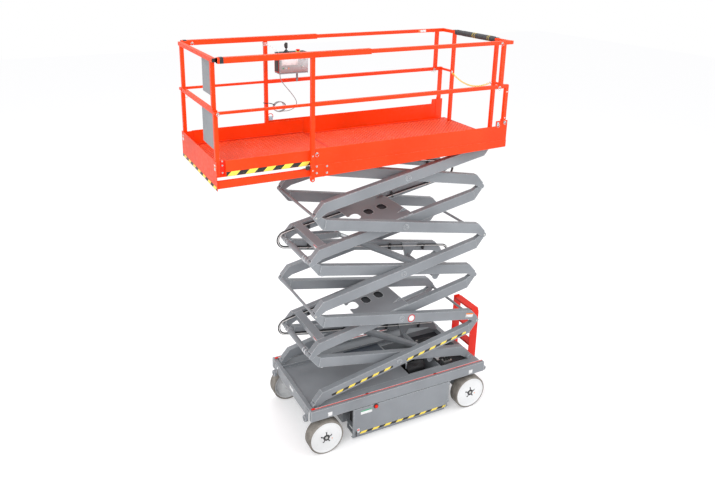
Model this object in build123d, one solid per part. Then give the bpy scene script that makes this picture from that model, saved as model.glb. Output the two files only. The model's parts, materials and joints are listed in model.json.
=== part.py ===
from build123d import *
import math
import os

os.makedirs("parts", exist_ok=True)

# A narrow slab scissor lift, mast raised, deck extension run out. Millimetres.
# +X towards the ladder end, -X towards the steered end, +Z up, floor at Z = 0.
# Lengths along the machine are counted from the mast's fixed pins.

# ---------------------------------------------------------------- mast
LEVELS = 5
LEVEL_RISE = 540.0            # height between stacked end pins, as parked
PIN_SPAN = 2070.0             # fixed pin to sliding pin, as parked
STACK_PITCH = 140.0           # height between stacked end pins, folded flat
BASE_PIN_Z = 565.5
TUBE_H = 115.0
TUBE_W = 70.0
TUBE_CORNER = 7.0
OUTER_ARM_FACE = 487.0        # outside face of the outer arms
INNER_ARM_FACE = 384.0        # outside face of the inner arms
END_LEN = 115.0               # end fitting, pin to tube end
CHEEK_T = 8.0
CHEEK_GAP = 1.5
PIN_R = 15.0
EYE_R = 25.0
CENTRE_PIN_R = 20.0
CENTRE_BOSS_R = 32.0
BOSS_STAND = 6.0              # centre pin's head beyond the outer arm
RUN_FIT = 0.3                 # radial clearance of a pin in its bore
FACE_FIT = 0.3                # clearance between faces that slide or turn on each other
SHOE_R = 30.0
SHOE_T = 24.0
SHOE_GAP = 4.0                # arm to shoe
DECK_SHOE_R = 20.0
DECK_SHOE_GAP = 8.0
PIN_TUBE_R = 30.0             # tube round the shared pins of the inner pairs
BOX_AT = 170.0                # cross box, from the lower pin
BOX_W = 90.0
BOX_H = 75.0
BOX_LIFT = 20.0               # above the tube's centre line
PLATE_AT = 660.0              # cross plate, from the lower pin
PLATE_LEN = 570.0
PLATE_T = 5.0
PLATE_IN = 10.0               # plate's edge inside the arm's outside face
HOLE_AT = 70.0                # first hole, from the plate's end
HOLE_STEP = 165.0
HOLE_LEN = 150.0
HOLE_W = 100.0
GUSSET_H = 60.0
TOP_BOX_AT = 400.0            # cross box of the top inner pair, from the upper pin
TOP_BOX = 60.0

# ---------------------------------------------------------------- lift cylinders
BARREL_AT = 1640.0            # barrel pivot along the lower arm from the shared pins
BARREL_DROP = 185.0           # and below the line of the pins
ROD_AT = 480.0                # rod eye along the upper arm from the shared pins
ROD_LIFT = 20.0               # and above the line of the pins
BARREL_R = 40.0
BARREL_PIN_R = 25.0
BARREL_LEN = 1060.0
BARREL_NECK = 15.0            # pivot to the barrel's closed end
GLAND_R = 46.0
GLAND_LEN = 45.0
ROD_R = 25.0
ROD_TAIL = 90.0               # end of the bore beyond the pivot
ROD_TAIL_GAP = 12.0
EYE_OUT_R = 38.0
ROD_PIN_R = 16.0
EYE_W = 60.0
LUG_T = 14.0
LUG_R = 32.0
LUG_GAP = 1.0
LUG_PAD = 6.0                 # weld pads hold the barrel's lugs off the next pair of arms
PIN_HEAD = 6.0

# ---------------------------------------------------------------- base
BASE_FRONT = -80.0
BASE_LEN = 2250.0
BASE_HALF_W = 565.0
BEAM_TOP = 565.0
BEAM_BOTTOM = 440.0
BEAM_T = 45.0
BEAM_CORNER = 4.0
PLATE = 6.0
TRACK_INNER = 388.0
FRONT_BAR = 45.0
FRONT_BAR_TOP = 558.0
REAR_BAR = 60.0
REAR_BAR_TOP = 528.0
PIN_LUG = 26.0                # half width of the lugs that hold the fixed pins
RING_Y = 450.0
RING_Z = 425.0
RING_R = 38.0
RING_HOLE_R = 22.0
RING_T = 36.0
REAR_LUG_R = 30.0
REAR_LUG_T = 16.0
REAR_HOLE_R = 12.0
REAR_LUG_OUT = 10.0           # lug's centre beyond the beam's end
WEB_Y = 330.0                 # outside faces of the well
WELL_X0 = 408.0
WELL_X1 = 1710.0
BELLY_Z = 115.0
COVER_TOP = 505.0
COVER_T = 5.0
COVER_X0 = -10.0
COVER_X1 = 1270.0
COVER_LIP = 30.0
TRIM_W = 12.0
TRIM_T = 6.0
TRIM_IN = 10.0                # from the beams' ends
PUMP_X = (1345.0, 1625.0)
PUMP_TOP = 465.0
PUMP_HALF_W = 200.0
MOTOR_R = 75.0

# ---------------------------------------------------------------- axles and wheels
WHEEL_R = 203.0
WHEEL_W = 127.0
TYRE_CORNER = 8.0
TRACK_FACE = 585.0            # outside face of the tyres
FRONT_AXLE = 93.0
REAR_AXLE = 1985.0
RIM_R = 184.0
RIM_T = 8.0
DISC_IN = 10.0                # disc's face inside the tyre's face
HUB_R = 62.0
HUB_OUT = 4.0                 # hub's face inside the tyre's face
SPINDLE_R = 28.0
SPINDLE_END = 32.0            # spindle's end inside the tyre's face
KINGPIN_Y = 420.0
KINGPIN_R = 18.0
AXLE_HALF = 45.0              # half the axle beam's depth along the machine
AXLE_Z = (300.0, 380.0)
YOKE_R = 32.0
YOKE_Z = (262.0, 330.0)
HANGER_Y = 340.0
KNUCKLE_Z0 = 170.0
STEER_ARM = 140.0
STEER_ARM_Z = (175.0, 195.0)
TIE_R = 10.0
TIE_EYE_R = 18.0
TIE_EYE_Z = (153.0, 171.0)
TIE_PIN_R = 10.0
REAR_BEAM_HALF = 60.0
REAR_BEAM_Z = (150.0, 260.0)
DRIVE_R = 85.0                # brake and drive housings behind the rear wheels
DRIVE_Y = (395.0, 450.0)

# ---------------------------------------------------------------- trays
TRAY_X0 = 428.0
TRAY_X1 = 1675.0
TRAY_Z0 = 95.0
TRAY_Z1 = 432.0
TRAY_T = 4.0
TRAY_LIP = 25.0
TRAY_FLOOR_Z = 150.0
TRAY_FLOOR_T = 5.0
TRAY_INNER = 345.0
HINGE_X = 1688.0
HINGE_Y = 550.0
HINGE_R = 14.0
HINGE_PIN_R = 8.0
KNUCKLE_H = 30.0
KNUCKLE_AT = (170.0, 400.0)
LOAD_GAP = 20.0               # batteries and tank inside their tray
BATTERY_LEN = 800.0
BATTERY_TOP = 405.0
TANK_LEN = 700.0
TANK_TOP = 395.0
GUARD_Z0 = 35.0
GUARD_H = 52.0
GUARD_Y = 530.0                # inside the tray's lips, so that it can rise behind the skirt
GUARD_T = 10.0
GUARD_GAP = 8.0               # guard's ends inside the tray's lips
GUARD_FLANGE = 36.0
GUARD_ARMS = (470.0, 1600.0)
GUARD_ARM_W = 30.0
GUARD_ARM_T = 12.0
GUARD_SLIDE_TOP = 200.0

# ---------------------------------------------------------------- platform
DECK_FRONT = -12.0
DECK_LEN = 2167.0
DECK_HALF_W = 595.0
DECK_DROP = 80.0              # sides' bottom edge below the platform pins
SHEET = 5.0
CHANNEL_H = 98.0
DECK_TAPER = 45.0             # rise of the sides' bottom edge towards the entry end
FLANGE_FRONT = 200.0          # bottom flanges at both ends of the sides
FLANGE_REAR_IN = 380.0
BAND_H = 120.0                # stiffening band along each side's bottom edge
BAND_T = 4.0
CORNER_LEN = 150.0            # raised corner plates at the entry end
CORNER_H = 57.0
KICK_TOP = 276.5              # heights on the deck are above its sides' bottom edge
FLOOR_GAP = 6.0               # floor above the arms' end eyes
EAR = 20.0
EAR_T = 8.0
EAR_IN = 0.5
TRACK_FROM = 900.0
TRACK_WEB_GAP = 6.0
EXT_OUT = 992.0               # extension front beyond the main deck's front, run out
EXT_LAP = 330.0               # extension floor over the main floor, run out
EXT_TRAVEL = 880.0
EXT_KICK_TOP = 263.5
SKIRT_FROM = -909.0           # side skirts step in towards the front posts
SKIRT_IN = 22.0
EXT_SIDE_GAP = 5.0
EXT_BEAM_W = 32.0
EXT_BEAM_Z = (10.0, 79.5)
EXT_BEAM_REAR = 880.0
RAIL_STAND = 21.0             # rails' sleeves beyond the deck's sides
RAIL_TOP = 1167.5             # above the bottom edge
RAIL_MID = 696.5
RAIL_TUBE = 36.0
SLEEVE = 50.0
SLEEVE_T = 3.0
SLEEVE_END = 490.0
SLEEVE_PAD = 60.0
SLEEVE_LAP = 130.0            # front rail's tabs along the sleeves
MID_BAR = 24.0
MID_BORE = 28.0
MID_PAD = 80.0
MID_BAR_END = 60.0
MAIN_POST = -108.0            # front face of the main deck's front posts
REAR_POST_IN = 73.0           # posts, rails and entry from the deck's rear
UPPER_POST_BACK = 149.0
RAIL_REAR_IN = 30.0
ENTRY_Y = 370.0
ENTRY_IN = 60.0
PAD_R = 31.0
UPPER_POST_IN = 90.0
ROLLER_R = 21.0
ROLLER_DROP = 19.0            # roller's centre below the main posts' foot
FORK_R = 17.0
PANEL_T = 4.0
PANELS = ((130.0, 370.0, 808.0, 1140.0), (70.0, 460.0, 328.0, 712.0))  # near -> far |y|, z range
BOX_X = (0.0, 320.0)
BOX_Y = (425.0, 560.0)
BOX_Z = (793.0, 1003.0)       # above the sides' bottom edge
BOX_STRAP_X = (245.0, 267.0)  # strap from the box's back to the mid rail
BOX_STRAP_T = 5.0
GLAND = (34.0, 500.0)         # where the lead leaves the box's underside
GLAND_BOX_R = 9.0
LEAD_R = 4.0
LEAD = ((34, 500, 781), (34, 500, 736), (68, 499, 682), (118, 501, 624), (170, 506, 563), (212, 513, 505),
        (232, 522, 462), (222, 530, 422), (194, 537, 397), (157, 540, 399), (120, 540, 399))
COIL_X = (-40.0, 120.0)
COIL_Y = (515.0, 565.0)
COIL_Z = (368.0, 493.0)
COIL_CORNER = 25.0

# ---------------------------------------------------------------- ladder
LADDER_OUT = 110.0            # beyond the base's rear
LADDER_Y = (-250.0, 100.0)
LADDER_Z = (330.0, 1120.0)
LADDER_T = 6.0
LADDER_CUT = 60.0
STEP_Z = (380.0, 600.0, 820.0, 1075.0)
STEP_H = 25.0
LADDER_FOOT_Z = 528.0

# ---------------------------------------------------------------- worked out
ARM_L = math.hypot(PIN_SPAN, LEVEL_RISE)
ARM_ANGLE = math.degrees(math.asin(LEVEL_RISE / ARM_L))
FOLD_ANGLE = math.degrees(math.asin(STACK_PITCH / ARM_L))
TUBE_TILT = ARM_ANGLE - FOLD_ANGLE
PIN_U = math.sqrt((ARM_L / 2) ** 2 - (STACK_PITCH / 2) ** 2)
HALF_GAP = (STACK_PITCH - TUBE_H) / 2
X_MIN = DECK_FRONT - EXT_OUT
MID_BORE_END = MID_BAR_END + EXT_TRAVEL + MID_PAD
BASE_REAR = BASE_FRONT + BASE_LEN
LADDER_REAR = BASE_REAR + LADDER_OUT
XP = -(X_MIN + LADDER_REAR) / 2     # the fixed pins' X, with the origin mid-length
PLATFORM_PIN_Z = BASE_PIN_Z + LEVELS * LEVEL_RISE
ZB = PLATFORM_PIN_Z - DECK_DROP     # bottom edge of the deck's sides
TRACK_Z = BASE_PIN_Z - SHOE_R - FACE_FIT
WHEEL_MID = TRACK_FACE - WHEEL_W / 2
DECK_REAR = DECK_FRONT + DECK_LEN
REAR_POST = DECK_REAR - REAR_POST_IN
UPPER_POST = DECK_REAR - UPPER_POST_BACK
RAIL_REAR = DECK_REAR - RAIL_REAR_IN
ENTRY_X = DECK_REAR - ENTRY_IN
FLANGE_REAR = DECK_REAR - FLANGE_REAR_IN
FLOOR_Z = PLATFORM_PIN_Z + EYE_R + FLOOR_GAP
FLOOR_TOP = FLOOR_Z + SHEET
EXT_FRONT = DECK_FRONT - EXT_OUT
EXT_Z = FLOOR_TOP + FACE_FIT
RAIL_HALF_W = DECK_HALF_W + RAIL_STAND
RAIL_Y = RAIL_HALF_W - SLEEVE / 2
TOP_Z = ZB + RAIL_TOP - SLEEVE / 2
MID_Z = ZB + RAIL_MID
HALF = RAIL_TUBE / 2
EXT_SIDE = RAIL_Y - HALF - EXT_SIDE_GAP


def box(x0, x1, y0, y1, z0, z1):
    """A box between two corners."""
    centre = (XP + (x0 + x1) / 2, (y0 + y1) / 2, (z0 + z1) / 2)
    return Pos(*centre) * Box(abs(x1 - x0), abs(y1 - y0), abs(z1 - z0))


def rod_y(x, z, r, y0, y1):
    """A round bar across the machine."""
    return Pos(XP + x, (y0 + y1) / 2, z) * Rot(90, 0, 0) * Cylinder(r, abs(y1 - y0))


def rod_z(x, y, r, z0, z1):
    """A round upright bar."""
    return Pos(XP + x, y, (z0 + z1) / 2) * Cylinder(r, abs(z1 - z0))


def rod_x(y, z, r, x0, x1):
    """A round bar along the machine."""
    return Pos(XP + (x0 + x1) / 2, y, z) * Rot(0, 90, 0) * Cylinder(r, abs(x1 - x0))


def both(shape):
    """The shape and its mirror image on the other side of the machine."""
    return shape + mirror(shape, about=Plane.XZ)


def face_xz(points):
    """A flat outline seen from the side, from (along, up) corners."""
    with BuildSketch(Plane.XZ) as sketch:
        with BuildLine():
            Polyline(*points, close=True)
        make_face()
    return sketch.sketch


def slab(sketch, y0, y1):
    """A side outline drawn out between two Y values."""
    return Pos(0, y0, 0) * extrude(sketch, amount=y1 - y0, dir=(0, 1, 0))


def section_x(points, x0, x1):
    """A cross-section of (Y, Z) corners drawn out along the machine."""
    with BuildSketch(Plane.YZ) as sketch:
        with BuildLine():
            Polyline(*points, close=True)
        make_face()
    return Pos(XP + x0, 0, 0) * extrude(sketch.sketch, amount=x1 - x0, dir=(1, 0, 0))


def save(shape, name):
    """One STEP file per piece, named after it."""
    export_step(shape, f"parts/{name}.step")


# ================================================================ arms
def end_outline():
    """The sloped end fitting seen from the side, pin at the origin, tube towards +X."""
    top = HALF_GAP + TUBE_H
    slope = face_xz(((-EYE_R * 0.9, EYE_R * 0.45), (END_LEN - BEAM_CORNER, top), (END_LEN, top),
                     (END_LEN, HALF_GAP), (EYE_R * 0.4, -EYE_R * 0.9)))
    return slope + Plane.XZ * Circle(EYE_R)


def end_cover():
    """The plate that closes the forked end's slope, clear of the other arm's eye."""
    top = HALF_GAP + TUBE_H
    return face_xz(((EYE_R * 0.1, EYE_R * 1.75), (END_LEN - BEAM_CORNER, top), (END_LEN, top),
                    (END_LEN, top - CHEEK_T * 1.5), (EYE_R * 0.4, EYE_R * 1.5)))


def arm(y_out):
    """One arm along X about its centre pin: forked lower end, single upper end."""
    y_in = y_out + TUBE_W
    length = 2 * (PIN_U - END_LEN)
    tube = Box(length, TUBE_W, TUBE_H)
    tube = Pos(0, y_out + TUBE_W / 2, 0) * fillet(tube.edges().filter_by(Axis.X), TUBE_CORNER)
    lower = Pos(-PIN_U, 0, -STACK_PITCH / 2)
    upper = Pos(PIN_U, 0, STACK_PITCH / 2) * Rot(0, 180, 0)
    outline = end_outline()
    cheeks = slab(outline, y_out, y_out + CHEEK_T) + slab(outline, y_in - CHEEK_T, y_in)
    tongue = slab(outline, y_out + CHEEK_T + CHEEK_GAP, y_in - CHEEK_T - CHEEK_GAP)
    return tube + lower * (cheeks + slab(end_cover(), y_out, y_in)) + upper * tongue


def cross_pin(at, r, y0, y1):
    """A round bar across the arms at an (along, up) place."""
    return Pos(at[0], (y0 + y1) / 2, at[1]) * Rot(90, 0, 0) * Cylinder(r, abs(y1 - y0))


def cross_plate():
    """The plate on top of an inner pair, with its row of lightening holes and two gussets."""
    start = PLATE_AT - PIN_U
    width = 2 * (INNER_ARM_FACE - PLATE_IN)
    top = TUBE_H / 2
    plate = Pos(start + PLATE_LEN / 2, 0, top + PLATE_T / 2) * Box(PLATE_LEN, width, PLATE_T)
    plate -= Pos(start, 0, top) * Box(2 * HOLE_AT, HOLE_W, TUBE_H)
    for k in range(3):
        x = start + HOLE_AT + k * HOLE_STEP
        hole = Pos(x, 0, 0) * Rot(0, 0, 90) * SlotOverall(HOLE_LEN, HOLE_W)
        plate -= extrude(hole, amount=TUBE_H, both=True)
    end = start + PLATE_LEN
    top += PLATE_T
    fin = face_xz(((end - 2 * GUSSET_H, top), (end, top), (end - GUSSET_H / 2, top + GUSSET_H / 2)))
    return plate + both(slab(fin, -width / 3, -width / 3 + PLATE_T))


def rod_lugs():
    """The pair of lugs that carry the rod's eye, from the cross box."""
    x0 = BOX_AT + BOX_W / 2
    up = BOX_LIFT + STACK_PITCH / 2
    lug = face_xz(((x0, up + BOX_H / 2), (ROD_AT, ROD_LIFT + LUG_R),
                   (ROD_AT, ROD_LIFT - LUG_R), (x0, up - BOX_H / 2)))
    y = EYE_W / 2 + LUG_GAP
    pair = slab(lug, -y - LUG_T, -y) + cross_pin((ROD_AT, ROD_LIFT), LUG_R, -y - LUG_T, -y)
    pair += cross_pin((ROD_AT, ROD_LIFT), ROD_PIN_R, -y - LUG_T - PIN_HEAD, -y - LUG_T)
    return Pos(-PIN_U, 0, -STACK_PITCH / 2) * both(pair)


def barrel_lugs(half_gap):
    """Plates under an inner pair that hold the barrel's pivot tube."""
    reach = BARREL_DROP + EYE_OUT_R
    ear = face_xz(((BARREL_AT - reach / 2, -HALF_GAP - PLATE), (BARREL_AT + reach / 2, -HALF_GAP - PLATE),
                   (BARREL_AT + EYE_OUT_R, -BARREL_DROP), (BARREL_AT - EYE_OUT_R, -BARREL_DROP)))
    weld = face_xz(((BARREL_AT - reach / 3, -HALF_GAP - PLATE), (BARREL_AT + reach / 3, -HALF_GAP - PLATE),
                    (BARREL_AT + reach / 3, -HALF_GAP - TUBE_H + PLATE), (BARREL_AT - reach / 3,
                                                                          -HALF_GAP - TUBE_H + PLATE)))
    face = -half_gap + LUG_PAD
    plate = slab(ear, face, face + LUG_T) + slab(weld, -half_gap, face)
    plate += cross_pin((BARREL_AT, -BARREL_DROP), EYE_OUT_R, face, face + LUG_T)
    lugs = both(plate) + cross_pin((BARREL_AT, -BARREL_DROP), BARREL_PIN_R, face, -face)
    return Pos(PIN_U, 0, STACK_PITCH / 2) * mirror(lugs, about=Plane.YZ)


def level_arms(level, outer):
    """Both arms of one level with their cross members, as parked."""
    rising = (level % 2 == 1) == outer
    y_out = -OUTER_ARM_FACE if outer else -INNER_ARM_FACE
    y_in = y_out + TUBE_W
    upper_pin = (PIN_U, STACK_PITCH / 2)
    lower_pin = (-PIN_U, -STACK_PITCH / 2)
    body = arm(y_out)
    body -= cross_pin(upper_pin, PIN_R + RUN_FIT, y_out - 1, y_in + 1)
    if outer:
        inner_in = -INNER_ARM_FACE + TUBE_W
        body += cross_pin((0, 0), CENTRE_BOSS_R, y_out - BOSS_STAND, y_out)
        body += cross_pin((0, 0), CENTRE_BOSS_R, y_in, -INNER_ARM_FACE - FACE_FIT)
        body += cross_pin((0, 0), CENTRE_PIN_R, y_out, inner_in)
    else:
        body -= cross_pin((0, 0), CENTRE_PIN_R + RUN_FIT, y_out - 1, y_in + 1)
    if level > 1 or outer:
        body += cross_pin(lower_pin, PIN_R, y_out, y_in)
    if not outer and level == 1:
        shoe = y_out - SHOE_GAP
        body += cross_pin(lower_pin, PIN_R, shoe - SHOE_T, y_in)
        body += cross_pin(lower_pin, SHOE_R, shoe - SHOE_T, shoe)
    if outer and level == LEVELS:
        shoe = y_out - DECK_SHOE_GAP
        body += cross_pin(upper_pin, PIN_R + RUN_FIT, shoe - SHOE_T, y_in)
        body += cross_pin(upper_pin, DECK_SHOE_R, shoe - SHOE_T, shoe)
    body = both(body)
    if outer and level > 1:
        body += cross_pin(lower_pin, PIN_R, y_in, -y_in)
    if not outer and level % 2 == 0:
        body += cross_pin(lower_pin, PIN_TUBE_R, y_in, -y_in)
        body += Pos(BOX_AT - PIN_U, 0, BOX_LIFT) * Box(BOX_W, -2 * y_in, BOX_H)
        body += cross_plate() + rod_lugs()
    if not outer and level % 2 == 1 and level < LEVELS:
        body += barrel_lugs(-y_in)
    if not outer and level == LEVELS:
        body += Pos(PIN_U - TOP_BOX_AT, 0, 0) * Box(TOP_BOX, -2 * y_in, TOP_BOX)
    centre = (XP + PIN_SPAN / 2, 0, BASE_PIN_Z + (level - 0.5) * LEVEL_RISE)
    body = Rot(0, -TUBE_TILT, 0) * body
    if rising:
        return Pos(*centre) * body
    return Pos(*centre) * mirror(body, about=Plane.YZ)


for level in range(1, LEVELS + 1):
    save(level_arms(level, True), f"outer_arms_{level}")
    save(level_arms(level, False), f"inner_arms_{level}")


# ================================================================ lift cylinders
def cylinder_ends(level):
    """Barrel pivot and rod eye as parked, for the cylinder between this level and the next."""
    t = math.radians(TUBE_TILT)
    z = BASE_PIN_Z + level * LEVEL_RISE
    foot = (XP + BARREL_AT * math.cos(t) - BARREL_DROP * math.sin(t),
            z - BARREL_AT * math.sin(t) - BARREL_DROP * math.cos(t))
    eye = (XP + ROD_AT * math.cos(t) - ROD_LIFT * math.sin(t),
           z + ROD_AT * math.sin(t) + ROD_LIFT * math.cos(t))
    return foot, eye


def lying(x0, x1, r):
    """A round bar along -X between two distances from the pivot."""
    return Pos(-(x0 + x1) / 2, 0, 0) * Rot(0, 90, 0) * Cylinder(r, x1 - x0)


for level, name in ((1, "lower"), (3, "upper")):
    foot, eye = cylinder_ends(level)
    length = math.dist(foot, eye)
    tilt = math.degrees(math.atan2(eye[1] - foot[1], foot[0] - eye[0]))
    across = Rot(90, 0, 0)
    barrel = lying(BARREL_NECK, BARREL_LEN, BARREL_R) + across * Cylinder(EYE_OUT_R, EYE_W)
    barrel += lying(BARREL_LEN - GLAND_LEN, BARREL_LEN, GLAND_R)
    barrel -= lying(ROD_TAIL, BARREL_LEN + 1, ROD_R + RUN_FIT)
    barrel -= across * Cylinder(BARREL_PIN_R + RUN_FIT, 2 * BARREL_R + 2)
    rod = lying(length - BARREL_LEN + ROD_TAIL + ROD_TAIL_GAP, length, ROD_R)
    rod += Pos(-length, 0, 0) * across * Cylinder(EYE_OUT_R, EYE_W)
    place = Pos(foot[0], 0, foot[1]) * Rot(0, tilt, 0)
    save(place * barrel, f"{name}_cylinder_barrel")
    save(place * rod, f"{name}_cylinder_rod")

# ================================================================ base
beam = box(BASE_FRONT, BASE_REAR, -BASE_HALF_W, -BASE_HALF_W + BEAM_T, BEAM_BOTTOM, BEAM_TOP)
beam = fillet(beam.edges().filter_by(Axis.X), BEAM_CORNER)
track_in = -TRACK_INNER
shelf = ((-BASE_HALF_W + BEAM_T - BEAM_CORNER, TRACK_Z), (track_in, TRACK_Z), (track_in, BEAM_BOTTOM),
         (track_in - PLATE, BEAM_BOTTOM), (track_in - PLATE, TRACK_Z - PLATE),
         (-BASE_HALF_W + BEAM_T - BEAM_CORNER, TRACK_Z - PLATE))
beam += section_x(shelf, BASE_FRONT, BASE_REAR)
lug_y = OUTER_ARM_FACE - TUBE_W / 2
lug_half = TUBE_W / 2 - CHEEK_T - CHEEK_GAP
lug = box(-PIN_LUG, PIN_LUG, -lug_y - lug_half, -lug_y + lug_half, TRACK_Z, BASE_PIN_Z)
lug += rod_y(0, BASE_PIN_Z, EYE_R, -lug_y - lug_half, -lug_y + lug_half)
lug -= rod_y(0, BASE_PIN_Z, PIN_R + RUN_FIT, -lug_y - lug_half - 1, -lug_y + lug_half + 1)
side_beam = beam + lug
hanger = box(HINGE_X - HINGE_R, HINGE_X + HINGE_R, track_in, -HINGE_Y - HINGE_R, BEAM_BOTTOM - PLATE,
             BEAM_BOTTOM + PLATE)
side_beam += hanger + rod_z(HINGE_X, -HINGE_Y, HINGE_PIN_R, KNUCKLE_AT[0] - KNUCKLE_H, BEAM_BOTTOM)
save(side_beam, "left_side_beam")
save(mirror(side_beam, about=Plane.XZ), "right_side_beam")

ring = rod_x(-RING_Y, RING_Z, RING_R, BASE_FRONT - RING_T, BASE_FRONT)
ring += box(BASE_FRONT - PLATE, BASE_FRONT, -RING_Y - RING_R, -RING_Y + RING_R, RING_Z + RING_HOLE_R,
            TRACK_Z)
ring -= rod_x(-RING_Y, RING_Z, RING_HOLE_R, BASE_FRONT - RING_T - 1, BASE_FRONT + 1)
save(both(ring), "front_tie_downs")
lug_x = BASE_REAR + REAR_LUG_OUT
lug_z = BEAM_BOTTOM + REAR_LUG_R
tail_y = -BASE_HALF_W + 2 * BEAM_CORNER
tail = rod_y(lug_x, lug_z, REAR_LUG_R, tail_y, tail_y + REAR_LUG_T)
tail -= box(BASE_REAR - REAR_LUG_R, BASE_REAR, tail_y - 1, tail_y + REAR_LUG_T + 1, BEAM_BOTTOM,
            lug_z + REAR_LUG_R)
tail += box(BASE_REAR, lug_x, tail_y, tail_y + REAR_LUG_T, BEAM_BOTTOM + BEAM_CORNER, lug_z + REAR_LUG_R)
tail -= rod_y(lug_x + BEAM_CORNER, lug_z, REAR_HOLE_R, tail_y - 1, tail_y + REAR_LUG_T + 1)
save(both(tail), "rear_tie_downs")

inner = BASE_HALF_W - BEAM_T
front_bar = box(BASE_FRONT, BASE_FRONT + FRONT_BAR, -inner, inner, TRACK_Z, FRONT_BAR_TOP)
front_bar += box(BASE_FRONT, BASE_FRONT + FRONT_BAR, track_in, -track_in, BEAM_BOTTOM, TRACK_Z)
front_bar += box(BASE_FRONT + FRONT_BAR - PLATE, COVER_X0 - FACE_FIT, track_in, -track_in,
                 COVER_TOP - 2 * COVER_T, COVER_TOP - COVER_T)
save(front_bar, "front_cross_beam")
rear_bar = box(BASE_REAR - REAR_BAR, BASE_REAR, track_in, -track_in, BEAM_BOTTOM, REAR_BAR_TOP)
save(rear_bar, "rear_cross_beam")

flange = COVER_TOP - COVER_T
wall = ((-WEB_Y, BELLY_Z), (-WEB_Y, flange - PLATE), (track_in, flange - PLATE), (track_in, flange),
        (-WEB_Y + PLATE, flange), (-WEB_Y + PLATE, BELLY_Z + PLATE), (0, BELLY_Z + PLATE), (0, BELLY_Z))
well = both(section_x(wall, WELL_X0, WELL_X1))
for x in (WELL_X0, WELL_X1 - PLATE):
    well += box(x, x + PLATE, -WEB_Y, WEB_Y, BELLY_Z, flange)
save(well, "belly_well")

cover = box(COVER_X0, COVER_X1, track_in + 2, -track_in - 2, COVER_TOP - COVER_T, COVER_TOP)
cover += box(COVER_X1 - COVER_T, COVER_X1, -WEB_Y + PLATE + 2, WEB_Y - PLATE - 2, COVER_TOP - COVER_LIP,
             COVER_TOP)
save(cover, "base_cover")
trim_y = -BASE_HALF_W + BEAM_T
save(both(box(BASE_FRONT + 3 * TRIM_IN, BASE_REAR - TRIM_IN, trim_y - TRIM_W, trim_y, BEAM_TOP,
              BEAM_TOP + TRIM_T)),
     "base_trim")
pump = box(PUMP_X[0], PUMP_X[1], -PUMP_HALF_W, PUMP_HALF_W, BELLY_Z + PLATE, PUMP_TOP - 2 * MOTOR_R)
pump += rod_x(-PUMP_HALF_W / 2, PUMP_TOP - MOTOR_R, MOTOR_R, PUMP_X[0] + 20, PUMP_X[1] - 20)
pump += box(PUMP_X[0] + 20, PUMP_X[1] - 60, 20, PUMP_HALF_W - 20, PUMP_TOP - 2 * MOTOR_R, PUMP_TOP - 20)
pump += box(PUMP_X[0] + 40, PUMP_X[1] - 40, -PUMP_HALF_W / 2 - 40, -PUMP_HALF_W / 2 + 40,
            PUMP_TOP - 2 * MOTOR_R, PUMP_TOP - MOTOR_R)
save(pump, "pump_and_motor")

# axle beams
front = box(FRONT_AXLE - AXLE_HALF, FRONT_AXLE + AXLE_HALF, -HANGER_Y - PLATE, HANGER_Y + PLATE, *AXLE_Z)
yoke = rod_z(FRONT_AXLE, -KINGPIN_Y, YOKE_R, *YOKE_Z)
yoke += box(FRONT_AXLE - YOKE_R, FRONT_AXLE + YOKE_R, -KINGPIN_Y, -HANGER_Y, YOKE_Z[0] + PLATE, YOKE_Z[1])
yoke += box(FRONT_AXLE - AXLE_HALF, FRONT_AXLE + AXLE_HALF, track_in - PLATE, -HANGER_Y,
            AXLE_Z[1] - AXLE_HALF, AXLE_Z[1])
yoke += box(FRONT_AXLE - AXLE_HALF, FRONT_AXLE + AXLE_HALF, track_in - PLATE, track_in + PLATE, AXLE_Z[1],
            BEAM_BOTTOM)
yoke -= rod_z(FRONT_AXLE, -KINGPIN_Y, KINGPIN_R + RUN_FIT, YOKE_Z[0] - 1, YOKE_Z[1] + 1)
save(front + both(yoke), "front_axle_beam")
rear = box(REAR_AXLE - REAR_BEAM_HALF, REAR_AXLE + REAR_BEAM_HALF, -DRIVE_Y[0], DRIVE_Y[0], *REAR_BEAM_Z)
rear += both(box(REAR_AXLE - REAR_BEAM_HALF, REAR_AXLE + REAR_BEAM_HALF, track_in - PLATE, track_in + PLATE,
                 REAR_BEAM_Z[0], BEAM_BOTTOM))
rear += both(rod_y(REAR_AXLE, WHEEL_R, DRIVE_R, -DRIVE_Y[1], -DRIVE_Y[0] + PLATE))
rear += both(rod_y(REAR_AXLE, WHEEL_R, SPINDLE_R, -TRACK_FACE + SPINDLE_END, -DRIVE_Y[1]))
save(rear, "rear_axle")


# ================================================================ wheels
def turned(points):
    """A section of (radius, across) corners turned round the Y axis."""
    with BuildSketch(Plane.XY) as sketch:
        with BuildLine():
            Polyline(*points, close=True)
        make_face()
    return revolve(sketch.sketch, axis=Axis.Y)


def tyre():
    """Solid tyre, outside face towards -Y."""
    half = WHEEL_W / 2
    c = TYRE_CORNER
    return turned(((RIM_R, -half + c / 3), (WHEEL_R - 2 * c, -half), (WHEEL_R - c, -half + c / 4),
                   (WHEEL_R, -half + c), (WHEEL_R, half - c), (WHEEL_R - c, half - c / 4),
                   (WHEEL_R - 2 * c, half), (RIM_R, half - c / 3)))


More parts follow.
